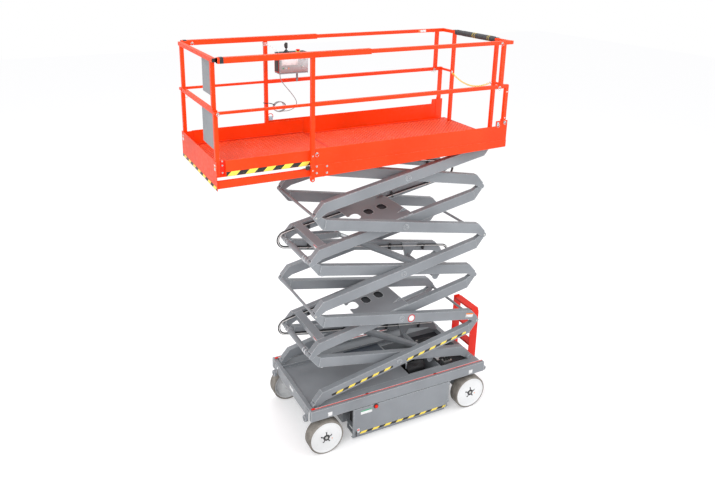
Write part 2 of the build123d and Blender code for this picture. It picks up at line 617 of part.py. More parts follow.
def rim():
    """Pressed wheel: flat disc near the outside face, turned lip, round hub."""
    half = WHEEL_W / 2
    disc = -half + DISC_IN
    hub = -half + HUB_OUT
    bore = SPINDLE_R + RUN_FIT
    end = -half + SPINDLE_END - PLATE
    return turned(((0, hub), (HUB_R - HUB_OUT, hub), (HUB_R, hub + HUB_OUT), (HUB_R, disc),
                   (RIM_R - 3 * RIM_T, disc),
                   (RIM_R - 2 * RIM_T, disc - RIM_T / 2), (RIM_R, -half + RIM_T / 4), (RIM_R, half - RIM_T),
                   (RIM_R - RIM_T, half - RIM_T), (RIM_R - RIM_T, disc + 2 * RIM_T), (RIM_R - 3 * RIM_T,
                                                                                      disc + RIM_T),
                   (HUB_R, disc + RIM_T), (HUB_R, half - 4 * RIM_T), (bore, half - 4 * RIM_T), (bore,
                                                                                                end), (0,
                                                                                                       end)))


for end, x in (("front", FRONT_AXLE), ("rear", REAR_AXLE)):
    for side, sign in (("left", -1), ("right", 1)):
        at = Pos(XP + x, sign * WHEEL_MID, WHEEL_R) * Rot(0, 0, 0 if sign < 0 else 180)
        save(at * tyre(), f"{end}_{side}_tyre")
        save(at * rim(), f"{end}_{side}_rim")

for side, sign in (("left", -1), ("right", 1)):
    y = sign * KINGPIN_Y
    knuckle = rod_z(FRONT_AXLE, y, KINGPIN_R, KNUCKLE_Z0, YOKE_Z[1] + KINGPIN_R)
    knuckle += rod_z(FRONT_AXLE, y, YOKE_R, KNUCKLE_Z0, YOKE_Z[0] - RUN_FIT)
    knuckle += rod_z(FRONT_AXLE, y, YOKE_R - 7, YOKE_Z[1] + RUN_FIT, YOKE_Z[1] + KINGPIN_R)
    knuckle += rod_y(FRONT_AXLE, WHEEL_R, SPINDLE_R, y, sign * (TRACK_FACE - SPINDLE_END))
    knuckle += box(FRONT_AXLE, FRONT_AXLE + STEER_ARM + TIE_R, y - TIE_EYE_R, y + TIE_EYE_R, *STEER_ARM_Z)
    knuckle += rod_z(FRONT_AXLE + STEER_ARM, y, TIE_PIN_R, TIE_EYE_Z[0], STEER_ARM_Z[0])
    save(knuckle, f"{side}_knuckle")
tie_z = (TIE_EYE_Z[0] + TIE_EYE_Z[1]) / 2
tie = rod_y(FRONT_AXLE + STEER_ARM, tie_z, TIE_R - 2, -KINGPIN_Y, KINGPIN_Y)
tie += both(rod_z(FRONT_AXLE + STEER_ARM, -KINGPIN_Y, TIE_EYE_R, *TIE_EYE_Z))
tie -= both(rod_z(FRONT_AXLE + STEER_ARM, -KINGPIN_Y, TIE_PIN_R + RUN_FIT, TIE_EYE_Z[0] - 1,
                  TIE_EYE_Z[1] + 1))
save(tie, "tie_rod")

# ================================================================ swing-out trays
for side, sign in (("left", -1), ("right", 1)):
    y_out = sign * BASE_HALF_W
    y_in = y_out - sign * TRAY_T
    tray = box(TRAY_X0, TRAY_X1, y_out, y_in, TRAY_Z0, TRAY_Z1)
    tray += box(TRAY_X0, TRAY_X0 + TRAY_T, y_out, y_out - sign * TRAY_LIP, TRAY_Z0, TRAY_Z1)
    tray += box(TRAY_X1 - TRAY_T, TRAY_X1, y_out, y_out - sign * TRAY_LIP / 2, TRAY_Z0, TRAY_Z1)
    tray += box(TRAY_X0, TRAY_X1, y_out, y_out - sign * TRAY_LIP, TRAY_Z1 - TRAY_T, TRAY_Z1)
    tray += box(TRAY_X0 + LOAD_GAP, TRAY_X1 - LOAD_GAP, y_in, sign * TRAY_INNER, TRAY_FLOOR_Z,
                TRAY_FLOOR_Z + TRAY_FLOOR_T)
    for z in KNUCKLE_AT:
        tray += rod_z(HINGE_X, sign * HINGE_Y, HINGE_R, z - KNUCKLE_H / 2, z + KNUCKLE_H / 2)
        tray += box(TRAY_X1 - TRAY_T, HINGE_X, y_out, y_in, z - KNUCKLE_H / 2, z + KNUCKLE_H / 2)
        tray += box(HINGE_X - PLATE, HINGE_X + PLATE, y_out, sign * HINGE_Y, z - KNUCKLE_H / 2,
                    z + KNUCKLE_H / 2)
    tray -= rod_z(HINGE_X, sign * HINGE_Y, HINGE_PIN_R + RUN_FIT, TRAY_Z0, TRAY_Z1)
    save(tray, f"{side}_tray")
    web = sign * (WEB_Y + FACE_FIT)
    guard_x = (TRAY_X0 + TRAY_T + GUARD_GAP, TRAY_X1 - TRAY_T - GUARD_GAP)
    guard = box(*guard_x, sign * GUARD_Y, sign * (GUARD_Y - GUARD_T), GUARD_Z0, GUARD_Z0 + GUARD_H)
    guard += box(*guard_x, sign * GUARD_Y, sign * (GUARD_Y - GUARD_FLANGE), GUARD_Z0, GUARD_Z0 + PLATE)
    for x in GUARD_ARMS:
        guard += box(x, x + GUARD_ARM_W, sign * (GUARD_Y - GUARD_T), web, GUARD_Z0, GUARD_Z0 + GUARD_ARM_T)
        guard += box(x, x + GUARD_ARM_W, web + sign * PLATE, web, GUARD_Z0, GUARD_SLIDE_TOP)
    save(guard, f"{side}_pothole_guard")

load_y = (TRAY_INNER + LOAD_GAP, BASE_HALF_W - LOAD_GAP)
load_x = TRAY_X0 + 3 * LOAD_GAP
load_z = TRAY_FLOOR_Z + TRAY_FLOOR_T
save(box(load_x, load_x + BATTERY_LEN, -load_y[0], -load_y[1], load_z, BATTERY_TOP), "battery_pack")
save(box(load_x, load_x + TANK_LEN, load_y[0], load_y[1], load_z, TANK_TOP), "hydraulic_tank")

# ================================================================ ladder
outline = face_xz(((XP + BASE_REAR, LADDER_Z[0]), (XP + LADDER_REAR - LADDER_CUT / 2, LADDER_Z[0]),
                   (XP + LADDER_REAR, LADDER_Z[0] + LADDER_CUT), (XP + LADDER_REAR,
                                                                  LADDER_Z[1] - LADDER_CUT),
                   (XP + LADDER_REAR - LADDER_CUT / 2, LADDER_Z[1]), (XP + BASE_REAR, LADDER_Z[1])))
ladder = slab(outline, LADDER_Y[0] - LADDER_T, LADDER_Y[0]) + slab(outline, LADDER_Y[1],
                                                                   LADDER_Y[1] + LADDER_T)
for z in STEP_Z:
    ladder += box(BASE_REAR + LADDER_T, LADDER_REAR - LADDER_T, LADDER_Y[0], LADDER_Y[1], z, z + STEP_H)
ladder += box(BASE_REAR, BASE_REAR + LADDER_T, LADDER_Y[0], LADDER_Y[1], BEAM_BOTTOM, LADDER_FOOT_Z)
save(ladder, "ladder")

# ================================================================ platform
side_y = -DECK_HALF_W
web_y = -OUTER_ARM_FACE - DECK_SHOE_GAP - SHOE_T - TRACK_WEB_GAP
front_end = MAIN_POST + RAIL_TUBE
side = box(front_end, DECK_REAR, side_y, side_y + SHEET, ZB, ZB + KICK_TOP)
side += box(front_end, DECK_REAR, side_y - BAND_T, side_y, ZB, ZB + BAND_H)
side += box(DECK_REAR - CORNER_LEN, DECK_REAR, side_y, side_y + SHEET, ZB + KICK_TOP,
            ZB + KICK_TOP + CORNER_H)
side += box(DECK_FRONT, DECK_REAR, web_y - SHEET, web_y, ZB, FLOOR_TOP)
side += box(DECK_FRONT, FLANGE_FRONT, side_y, web_y, ZB, ZB + SHEET)
side += box(FLANGE_REAR, DECK_REAR, side_y, web_y, ZB, ZB + DECK_TAPER + SHEET)
under = face_xz(((front_end, ZB - 1), (DECK_REAR + 1, ZB - 1), (DECK_REAR + 1, ZB + DECK_TAPER),
                 (front_end, ZB)))
side -= Pos(XP, 0, 0) * slab(under, side_y - BAND_T - 1, web_y + 1)
track_z = PLATFORM_PIN_Z - DECK_SHOE_R - FACE_FIT
side += box(TRACK_FROM, DECK_REAR, web_y, -OUTER_ARM_FACE - TRACK_WEB_GAP, track_z - SHEET, track_z)
deck = both(side) + box(DECK_FRONT, DECK_REAR, web_y, -web_y, FLOOR_Z, FLOOR_TOP)
ear_in = -INNER_ARM_FACE + EAR_IN
for y in (ear_in, -INNER_ARM_FACE + TUBE_W - EAR_IN - EAR_T):
    ear = rod_y(0, PLATFORM_PIN_Z, EYE_R, y, y + EAR_T) + box(-EAR, EAR, y, y + EAR_T, PLATFORM_PIN_Z,
                                                              FLOOR_Z)
    deck += both(ear)
deck += both(rod_y(0, PLATFORM_PIN_Z, PIN_R, ear_in, -INNER_ARM_FACE + TUBE_W - EAR_IN))
save(deck, "deck")

front_x = EXT_FRONT + SHEET
ext = box(EXT_FRONT, front_x, side_y, -side_y, ZB, ZB + EXT_KICK_TOP)
ext += box(EXT_FRONT, DECK_FRONT + EXT_LAP, -EXT_SIDE, EXT_SIDE, EXT_Z, EXT_Z + SHEET)
skirt = box(SKIRT_FROM, DECK_FRONT + EXT_LAP, -EXT_SIDE, -EXT_SIDE + SHEET, EXT_Z, ZB + EXT_KICK_TOP)
skirt += box(front_x + RAIL_TUBE, SKIRT_FROM + SHEET, -EXT_SIDE + SKIRT_IN, -EXT_SIDE + SKIRT_IN + SHEET,
             EXT_Z, ZB + EXT_KICK_TOP)
skirt += box(SKIRT_FROM, SKIRT_FROM + SHEET, -EXT_SIDE, -EXT_SIDE + SKIRT_IN, EXT_Z, ZB + EXT_KICK_TOP)
ext += both(skirt + box(EXT_FRONT, EXT_BEAM_REAR, -EXT_SIDE, -EXT_SIDE + EXT_BEAM_W, ZB + EXT_BEAM_Z[0],
                        ZB + EXT_BEAM_Z[1]))
save(ext, "extension_deck")

post_y = EXT_SIDE - SHEET - RAIL_TUBE
corner_z = ZB + KICK_TOP + CORNER_H
for side, sign in (("left", -1), ("right", 1)):
    y = sign * RAIL_Y
    rails = box(MAIN_POST, RAIL_REAR, y - HALF, y + HALF, TOP_Z - HALF, TOP_Z + HALF)
    rails += box(MAIN_POST, REAR_POST + RAIL_TUBE, y - HALF, y + HALF, MID_Z - HALF, MID_Z + HALF)
    rails += box(MAIN_POST, MAIN_POST + RAIL_TUBE, y - HALF, y + HALF, ZB, TOP_Z - HALF)
    rails -= box(MAIN_POST - 1, MID_BORE_END, y - MID_BORE / 2, y + MID_BORE / 2, MID_Z - MID_BORE / 2,
                 MID_Z + MID_BORE / 2)
    rails += box(UPPER_POST, UPPER_POST + RAIL_TUBE, y - HALF, y + HALF, MID_Z + HALF, TOP_Z - HALF)
    rails += box(REAR_POST, REAR_POST + RAIL_TUBE, y - HALF, y + HALF, corner_z, MID_Z - HALF)
    foot = sign * (DECK_HALF_W - SHEET)
    rails += box(REAR_POST - HALF, REAR_POST + RAIL_TUBE, foot - sign * FACE_FIT, foot - sign * PLATE,
                 FLOOR_TOP, corner_z + HALF)
    rails += box(REAR_POST, REAR_POST + RAIL_TUBE, y - HALF, foot, corner_z, corner_z + HALF)
    rails += box(MAIN_POST + RAIL_TUBE, DECK_FRONT, y - sign * HALF, foot, ZB, ZB + CHANNEL_H)
    foot_z = ZB - ROLLER_DROP
    for fork_y in (y - HALF, y + HALF - SHEET):
        rails += rod_y(MAIN_POST + HALF, foot_z, FORK_R, fork_y, fork_y + SHEET)
        rails += box(MAIN_POST, MAIN_POST + RAIL_TUBE, fork_y, fork_y + SHEET, foot_z, ZB)
    rails += rod_y(MAIN_POST + HALF, foot_z, ROLLER_R, y - HALF + SHEET, y + HALF - SHEET)
    save(rails, f"{side}_rails")
    s = SLEEVE / 2
    i = s - SLEEVE_T
    sleeve_x = EXT_FRONT + RAIL_TUBE + SHEET
    sleeve = section_x(((y - s, TOP_Z - s), (y - s, TOP_Z + s), (y + s, TOP_Z + s), (y + s, TOP_Z - s),
                        (y + i, TOP_Z - s),
                        (y + i, TOP_Z + i), (y - i, TOP_Z + i), (y - i, TOP_Z - s)), sleeve_x, SLEEVE_END)
    pad = HALF + FACE_FIT
    grip = section_x(((y - i, TOP_Z - HALF), (y - i, TOP_Z + i), (y + i, TOP_Z + i), (y + i, TOP_Z - HALF),
                      (y + pad, TOP_Z - HALF), (y + pad, TOP_Z + pad), (y - pad, TOP_Z + pad),
                      (y - pad, TOP_Z - HALF)), SLEEVE_END - SLEEVE_PAD, SLEEVE_END)
    save(sleeve + grip, f"extension_{side}_top_rail")
    m = MID_BAR / 2
    p = MID_BORE / 2 - FACE_FIT
    bar = box(EXT_FRONT, MID_BAR_END, y - m, y + m, MID_Z - m, MID_Z + m)
    bar += box(EXT_FRONT, front_x, sign * post_y, y, MID_Z - m, MID_Z + m)
    bar += box(MID_BAR_END - MID_PAD, MID_BAR_END, y - p, y + p, MID_Z - p, MID_Z + p)
    save(bar, f"extension_{side}_mid_rail")

upper_y = RAIL_HALF_W - UPPER_POST_IN - RAIL_TUBE
top_y = EXT_SIDE
sleeve_y = RAIL_Y - SLEEVE / 2
front = box(front_x, front_x + RAIL_TUBE, -top_y, top_y, TOP_Z - HALF, TOP_Z + HALF)
front += box(front_x, front_x + RAIL_TUBE, -post_y - RAIL_TUBE, post_y + RAIL_TUBE, MID_Z - HALF,
             MID_Z + HALF)
front += both(box(front_x, front_x + SLEEVE_LAP, -sleeve_y, -sleeve_y + SHEET, TOP_Z - HALF, TOP_Z + HALF))
front += both(box(front_x, front_x + RAIL_TUBE, -post_y - RAIL_TUBE, -post_y, EXT_Z + SHEET, MID_Z))
front += both(box(front_x, front_x + RAIL_TUBE, -upper_y - RAIL_TUBE, -upper_y, MID_Z, TOP_Z))
save(front, "extension_front_rail")
panel_x = front_x + RAIL_TUBE
panels = None
for y0, y1, z0, z1 in PANELS:
    panel = box(panel_x, panel_x + PANEL_T, -y0, -y1, ZB + z0, ZB + z1)
    panels = panel if panels is None else panels + panel
save(panels, "front_panels")

entry = both(box(ENTRY_X, ENTRY_X + RAIL_TUBE, -ENTRY_Y - HALF, -ENTRY_Y + HALF, FLOOR_TOP, TOP_Z + HALF))
side_in = RAIL_Y - HALF
for z, z_half in ((TOP_Z, HALF), (MID_Z, MID_BAR / 2)):
    entry += both(box(ENTRY_X, REAR_POST + RAIL_TUBE, -side_in, -ENTRY_Y, z - z_half, z + z_half))
save(entry, "entry_posts")
bar_x = ENTRY_X + HALF
pad_half = ENTRY_Y - HALF
save(rod_y(bar_x, TOP_Z, PAD_R, -pad_half, pad_half), "entry_bar")

control = box(*BOX_X, *BOX_Y, ZB + BOX_Z[0], ZB + BOX_Z[1])
back = RAIL_Y - HALF
control += box(BOX_X[0] + 40, BOX_X[1] - 40, BOX_Y[1], back, ZB + BOX_Z[0] + 60, ZB + BOX_Z[1] - 40)
control += box(*BOX_STRAP_X, back - BOX_STRAP_T, back, MID_Z - HALF, ZB + BOX_Z[1] - 40)
control += rod_z(*GLAND, GLAND_BOX_R, ZB + LEAD[0][2], ZB + BOX_Z[0])
save(control, "control_box")

# the control's lead hangs in a loop from the gland to a hank of spare length
route = [Vector(XP + x, y, ZB + z) for x, y, z in LEAD]
radii = []
for before, corner, after in zip(route, route[1:], route[2:]):
    turn = math.radians((corner - before).get_angle(after - corner))
    radii.append(0.45 * min((corner - before).length, (after - corner).length) / math.tan(turn / 2))
print("lead's arcs:", [round(radius) for radius in radii])
path = FilletPolyline(*route, radius=radii)
lead = sweep(Plane(route[0], z_dir=route[1] - route[0]) * Circle(LEAD_R), path=path)
print("lead's length:", round(path.length), "and by volume:", round(lead.volume / (math.pi * LEAD_R ** 2)))
save(lead, "control_lead")
coil = box(*COIL_X, *COIL_Y, ZB + COIL_Z[0], ZB + COIL_Z[1])
save(fillet(coil.edges().filter_by(Axis.Y), COIL_CORNER), "control_coil")
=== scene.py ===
import bpy
import json
import math
import random
from mathutils import Matrix, Vector


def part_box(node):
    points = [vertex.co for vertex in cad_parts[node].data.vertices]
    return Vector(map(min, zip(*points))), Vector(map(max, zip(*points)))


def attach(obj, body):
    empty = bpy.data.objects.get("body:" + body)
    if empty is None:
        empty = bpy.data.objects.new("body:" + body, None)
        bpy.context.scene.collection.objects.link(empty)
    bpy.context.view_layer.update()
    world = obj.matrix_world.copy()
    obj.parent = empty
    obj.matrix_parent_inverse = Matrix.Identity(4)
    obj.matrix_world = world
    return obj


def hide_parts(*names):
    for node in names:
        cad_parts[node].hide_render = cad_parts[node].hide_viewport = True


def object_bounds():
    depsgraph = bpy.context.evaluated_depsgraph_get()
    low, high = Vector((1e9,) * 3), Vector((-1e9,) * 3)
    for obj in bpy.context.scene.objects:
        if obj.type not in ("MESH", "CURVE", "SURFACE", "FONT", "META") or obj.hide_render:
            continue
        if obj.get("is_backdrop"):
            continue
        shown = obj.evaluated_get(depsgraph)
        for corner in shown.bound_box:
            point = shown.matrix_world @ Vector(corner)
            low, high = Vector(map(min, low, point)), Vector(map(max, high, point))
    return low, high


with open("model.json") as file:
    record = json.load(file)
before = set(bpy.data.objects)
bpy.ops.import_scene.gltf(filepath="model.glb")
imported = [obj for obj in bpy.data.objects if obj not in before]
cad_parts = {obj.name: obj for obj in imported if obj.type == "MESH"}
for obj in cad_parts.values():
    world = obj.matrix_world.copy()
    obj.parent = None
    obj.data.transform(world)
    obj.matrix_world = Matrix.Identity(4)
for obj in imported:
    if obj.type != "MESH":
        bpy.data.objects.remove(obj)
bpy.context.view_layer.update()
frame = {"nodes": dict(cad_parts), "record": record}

JOINTS = {j["name"]: j for j in frame["record"]["behaviour"]["joints"]}
PIN_X, _, BASE_PIN_Z = JOINTS["lift"]["pos_m"]
RISE = JOINTS["end_1"]["pos_m"][2] - BASE_PIN_Z
SPAN = JOINTS["end_1"]["pos_m"][0] - PIN_X
DECK_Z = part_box("deck")[0][2]  # bottom edge of the deck's sides
FLOOR_Z = DECK_Z + 0.116  # top of the main deck's floor
BEAM_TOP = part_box("left_side_beam")[1][2]
SIDES = (("left", -1), ("right", 1))
FILM = 0.0008  # thickness of stickers and painted bands


def at(x, y, z):
    """A place counted from the mast's fixed pins along the machine, the middle across it and the floor."""
    return Vector((PIN_X + x, y, z))


def on_deck(x, y, z):
    """The same, with the height counted from the bottom edge of the deck's sides."""
    return Vector((PIN_X + x, y, DECK_Z + z))


def loose(x, y, z):
    """A place in a piece's own frame."""
    return Vector((x, y, z))


# ------------------------------ node trees
class Nodes:
    """A node tree that is built up step by step."""

    def __init__(self, tree):
        self.tree = tree

    def add(self, kind, settings=(), **links):
        """A node with its settings and inputs, given as values or as other nodes' outputs."""
        made = self.tree.nodes.new("ShaderNode" + kind)
        for key, value in dict(settings).items():
            setattr(made, key, value)
        for key, value in links.items():
            self.feed(made, key, value)
        return made

    def feed(self, made, key, value):
        """Sets or links one input, named or numbered as i0, i1."""
        slot = made.inputs[int(key[1:])] if key[0] == "i" and key[1:].isdigit() else made.inputs[key]
        if isinstance(value, bpy.types.NodeSocket):
            self.tree.links.new(value, slot)
        elif isinstance(value, tuple) and len(value) == 3 and slot.type == "RGBA":
            slot.default_value = (*value, 1)
        else:
            slot.default_value = value

    def math(self, operation, a, b=0.0):
        return self.add("Math", {"operation": operation}, i0=a, i1=b).outputs[0]

    def seen_by(self, first, second):
        """1 for two kinds of ray, 0 for the others."""
        rays = self.add("LightPath").outputs
        return self.math("MAXIMUM", rays[f"Is {first} Ray"], rays[f"Is {second} Ray"])


# ------------------------------ camera, stage and light
bpy.context.scene.view_settings.view_transform = "Standard"
bpy.ops.object.camera_add(location=(PIN_X - 2.5877, -6.0720, 5.2252),
                          rotation=[math.radians(a) for a in (71.959, -0.457, -25.334)])
camera = bpy.context.object
camera.data.sensor_width = 36.0
camera.data.lens = 34.44
camera.data.shift_x = 0.0475
camera.data.shift_y = -0.0958
bpy.context.scene.camera = camera


def flat_world(colour, strength, seen):
    """An even sky for the light, and its own colour where it is looked at."""
    world = bpy.data.worlds.new("studio")
    bpy.context.scene.world = world
    world.use_nodes = True
    world.node_tree.nodes.clear()
    sky = Nodes(world.node_tree)
    light = sky.add("Background", Color=colour, Strength=strength).outputs[0]
    plain = sky.add("Background", Color=seen).outputs[0]
    mixed = sky.add("MixShader", i0=sky.seen_by("Camera", "Transmission"), i1=light, i2=plain)
    sky.add("OutputWorld", i0=mixed.outputs[0])


def studio_floor_finish():
    """A pale matt floor that is looked at, and reflected, a little brighter than it lights."""
    mat = bpy.data.materials.new("studio_floor")
    mat.use_nodes = True
    mat.node_tree.nodes.clear()
    nodes = Nodes(mat.node_tree)
    matt = nodes.add("BsdfDiffuse", Color=(0.80, 0.80, 0.81)).outputs[0]
    strength = nodes.math("MULTIPLY", nodes.seen_by("Camera", "Glossy"), 0.30)
    glow = nodes.add("Emission", Strength=strength).outputs[0]
    both = nodes.add("AddShader", i0=matt, i1=glow).outputs[0]
    nodes.add("OutputMaterial", i0=both)
    return mat


def lamp(name, place, target, size, watts):
    """A soft square lamp that looks at a target."""
    bpy.ops.object.light_add(type="AREA", location=place)
    light = bpy.context.object
    light.name = name
    light.data.size = size
    light.data.energy = watts
    light.rotation_euler = (Vector(target) - Vector(place)).to_track_quat("-Z", "Y").to_euler()


flat_world((1.0, 1.0, 1.0), 0.85, (1.0, 1.0, 1.0))
lamp("key_lamp", (-5.5, -6.0, 7.5), (0, 0, 1.8), 4.0, 420)
lamp("fill_lamp", (5.5, -5.0, 4.0), (0, 0, 1.5), 5.0, 130)
lamp("top_lamp", (0.5, 1.0, 8.5), (0, 0, 2), 4.0, 200)

bpy.ops.mesh.primitive_plane_add(size=60, location=(0, 0, 0))
floor = bpy.context.object
floor.name = "studio_floor"
floor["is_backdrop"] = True
floor.data.materials.append(studio_floor_finish())


# ------------------------------ materials
def srgb(r, g, b):
    """Screen colour to linear."""
    return tuple(((c / 255 + 0.055) / 1.055) ** 2.4 if c > 10 else c / 255 / 12.92 for c in (r, g, b))


class Finish(Nodes):
    """A principled material with patterns in object coordinates."""

    def __init__(self, name):
        self.mat = bpy.data.materials.new(name)
        self.mat.use_nodes = True
        super().__init__(self.mat.node_tree)
        self.shader = self.tree.nodes["Principled BSDF"]

    def looks(self, **inputs):
        """The finished material, with its inputs set or linked."""
        for key, value in inputs.items():
            self.feed(self.shader, key.replace("_", " "), value)
        return self.mat

    def mix(self, factor, a, b):
        """Two colours mixed."""
        return self.add("Mix", {"data_type": "RGBA"}, i0=factor, i6=a, i7=b).outputs[2]

    def noise(self, size, detail=4.0, scale=(1, 1, 1)):
        """Clouds of about a size, stretched."""
        place = self.add("Mapping", Vector=self.add("TexCoord").outputs["Object"], Scale=scale)
        return self.add("TexNoise", Vector=place.outputs[0], Scale=1.0 / size, Detail=detail).outputs[0]

    def ramp(self, value, low, high):
        """0 below low, 1 above high."""
        made = self.add("MapRange", {"clamp": True}, Value=value)
        made.inputs["From Min"].default_value = low
        made.inputs["From Max"].default_value = high
        return made.outputs[0]

    def bump(self, height, strength, distance):
        return self.add("Bump", Height=height, Strength=strength, Distance=distance).outputs[0]

    def rougher(self, value, amount, base):
        """A base roughness with a pattern added."""
        return self.math("ADD", self.math("MULTIPLY", value, amount), base)

    def edges(self, width):
        """1 along sharp edges, 0 on the flats."""
        soft = self.add("Bevel", {"samples": 4}, Radius=width).outputs[0]
        hard = self.add("NewGeometry").outputs["Normal"]
        dot = self.add("VectorMath", {"operation": "DOT_PRODUCT"}, i0=soft, i1=hard).outputs["Value"]
        return self.ramp(dot, 0.995, 0.93)


def paint(name, colour, rough=0.38, edge_highlight_and_wear_colour=(0.35, 0.34, 0.33), dust=0.10, peel=0.05, edge_highlight_and_wear=0.12,
          gloss_level=0.4, seam=0.004):
    """Sprayed paint: light and dark patches, dust, scuffs, orange peel and chipped edges, with an even band
    of edge colour along every edge that on the grey is a painted highlight.
    """
    f = Finish(name)
    wide = f.noise(0.55, 3.0)
    fine = f.noise(0.035, 6.0)
    deep = tuple(c * 0.86 for c in colour)
    lit = tuple(min(1.0, c * 1.05 + 0.004) for c in colour)
    tone = f.mix(f.ramp(wide, 0.35, 0.65), deep, lit)
    pale = tuple(min(1.0, c * 0.7 + 0.18) for c in colour)
    tone = f.mix(f.math("MULTIPLY", f.ramp(fine, 0.52, 0.80), dust), tone, pale)
    scratch = f.noise(0.006, 2.0, (1, 1, 9))
    scuffs = f.math("MULTIPLY", f.ramp(scratch, 0.70, 0.76), f.ramp(wide, 0.55, 0.7))
    tone = f.mix(f.math("MULTIPLY", scuffs, 0.35), tone, pale)
    # chips along the edges are wear; the even band along every edge is a painted highlight on the grey paint
    if edge_highlight_and_wear:
        chips = f.math("MULTIPLY", f.ramp(fine, 0.50, 0.60), 0.45)
        tone = f.mix(f.math("MULTIPLY", f.edges(seam), f.math("ADD", chips, edge_highlight_and_wear)), tone, edge_highlight_and_wear_colour)
    return f.looks(Base_Color=tone, Roughness=f.rougher(f.ramp(fine, 0.3, 0.8), 0.16, rough - 0.06),
                   Specular_IOR_Level=gloss_level, Normal=f.bump(f.noise(0.004, 2.0), peel, 0.0008))


def rubber():
    """Pale tyre rubber, mottled and dusty."""
    f = Finish("pale_tyre_rubber")
    wide = f.noise(0.09, 4.0)
    fine = f.noise(0.008, 5.0)
    tone = f.mix(f.ramp(wide, 0.35, 0.68), srgb(112, 107, 101), srgb(146, 141, 134))
    tone = f.mix(f.math("MULTIPLY", f.ramp(fine, 0.5, 0.72), 0.30), tone, srgb(78, 74, 70))
    return f.looks(Base_Color=tone, Roughness=f.rougher(fine, 0.2, 0.62), Normal=f.bump(fine, 0.25, 0.0012))


def black(name, rough=0.45, tone=(0.018, 0.018, 0.020), grain=0.0015):
    """Dark paint, plastic or foam with a fine grain."""
    f = Finish(name)
    fine = f.noise(0.012, 5.0)
    mixed = f.mix(f.ramp(fine, 0.4, 0.75), tone, tuple(c * 2.4 + 0.006 for c in tone))
    return f.looks(Base_Color=mixed, Roughness=f.rougher(fine, 0.25, rough - 0.1),
                   Normal=f.bump(f.noise(grain, 2.0), 0.12, 0.0004))


def metal(name, tone, rough=0.28, stretch=(1, 1, 1)):
    """Bare metal with duller patches."""
    f = Finish(name)
    fine = f.noise(0.010, 5.0, stretch)
    mixed = f.mix(f.ramp(fine, 0.35, 0.75), tone, tuple(c * 0.72 for c in tone))
    return f.looks(Base_Color=mixed, Metallic=1.0, Roughness=f.rougher(fine, 0.18, rough - 0.08))


def stripes(name, along, pitch):
    """Black and yellow bands that cross a direction, a little scuffed."""
    f = Finish(name)
    coords = f.add("TexCoord").outputs["Object"]
    step = tuple(Vector(along) / pitch)
    phase = f.add("VectorMath", {"operation": "DOT_PRODUCT"}, i0=coords, i1=step).outputs["Value"]
    band = f.math("GREATER_THAN", f.math("FRACT", phase), 0.5)
    tone = f.mix(band, (0.012, 0.012, 0.012), srgb(250, 222, 84))
    scuff = f.math("MULTIPLY", f.ramp(f.noise(0.02, 5.0), 0.60, 0.72), 0.35)
    return f.looks(Base_Color=f.mix(scuff, tone, srgb(150, 140, 110)),
                   Roughness=f.rougher(f.noise(0.03, 3.0), 0.2, 0.32))


MATERIALS = {
    # the grey's pale edge colour and strong even band along its edges are a painted highlight on the arms'
    # edges
    "grey": paint("mast_grey_paint", srgb(136, 140, 145), 0.36, srgb(206, 210, 213), edge_highlight_and_wear=0.55, seam=0.008),
    "orange": paint("deck_orange_paint", srgb(247, 64, 4), 0.38, srgb(255, 132, 92), dust=0.04,
                    gloss_level=0.22),
    "red": paint("trim_red_paint", srgb(236, 34, 6), 0.36, dust=0.03, edge_highlight_and_wear=0.0, gloss_level=0.25),
    "white": paint("wheel_white_paint", srgb(228, 229, 230), 0.32, srgb(150, 145, 140)),
    "tyre": rubber(),
    "black": black("machine_black_paint"),
    "plastic": black("black_plastic", 0.5, (0.014, 0.014, 0.015)),
    "steel": metal("bright_steel", (0.72, 0.73, 0.75), 0.22),
    "zinc": metal("zinc_plate", (0.62, 0.62, 0.60), 0.38),
    "casing": metal("brushed_casing", (0.50, 0.51, 0.52), 0.42, (1, 1, 14)),
    "cable": paint("grey_cable", srgb(150, 152, 154), 0.5, dust=0.05),
    "tread": paint("tread_mark_orange", srgb(250, 92, 34), 0.36, edge_highlight_and_wear=0.0),
    "tread_floor": paint("tread_plate_orange", srgb(206, 44, 8), 0.5, dust=0.30, edge_highlight_and_wear=0.0, gloss_level=0.2),
    "label": paint("blank_label", srgb(240, 241, 242), 0.45, dust=0.05, peel=0.0),
    "green": paint("green_label", srgb(40, 170, 120), 0.45, dust=0.05, peel=0.0),
    "amber": paint("amber_label", srgb(248, 130, 28), 0.45, dust=0.05, peel=0.0),
    "red_plain": paint("sign_red", srgb(205, 30, 30), 0.45, dust=0.03, peel=0.0, edge_highlight_and_wear=0.0),
    "yellow": paint("safety_yellow", srgb(246, 214, 50), 0.4, dust=0.05),
    "pale_blue": paint("pale_blue_plastic", srgb(170, 222, 238), 0.4, dust=0.05),
    "white_wire": paint("white_wire", srgb(232, 232, 230), 0.45, dust=0.05),
    "slate": paint("slate_plate", srgb(62, 72, 84), 0.5, dust=0.12, edge_highlight_and_wear=0.1),
    # also the painted shade under the holes of the cross plates
    "dark_sheet": black("dark_sheet", 0.6, (0.020, 0.022, 0.026)),
    "foam": black("pad_foam", 0.75, (0.030, 0.031, 0.034), 0.003),
    "hose": black("black_hose", 0.42, (0.016, 0.016, 0.018), 0.004),
    "side_stripes": stripes("side_stripes", (1, 0, -1), 0.156),
    "skirt_stripes": stripes("skirt_stripes", (1, 0, -1), 0.170),
    "kick_stripes": stripes("kick_stripes", (0, 1, 1), 0.170),
}

SLOT_LOOK = {"orange_paint": "orange", "grey_paint": "grey", "red_paint": "red", "tyre_rubber": "tyre",
             "white_paint": "white", "black_paint": "black", "steel": "steel", "black_plastic": "plastic",
             "cable_sheath": "cable"}
for row in frame["record"]["subparts"]:
    cad = frame["nodes"][row["node"]]
    cad.data.materials.clear()
    cad.data.materials.append(MATERIALS[SLOT_LOOK[row["material_slot"]]])

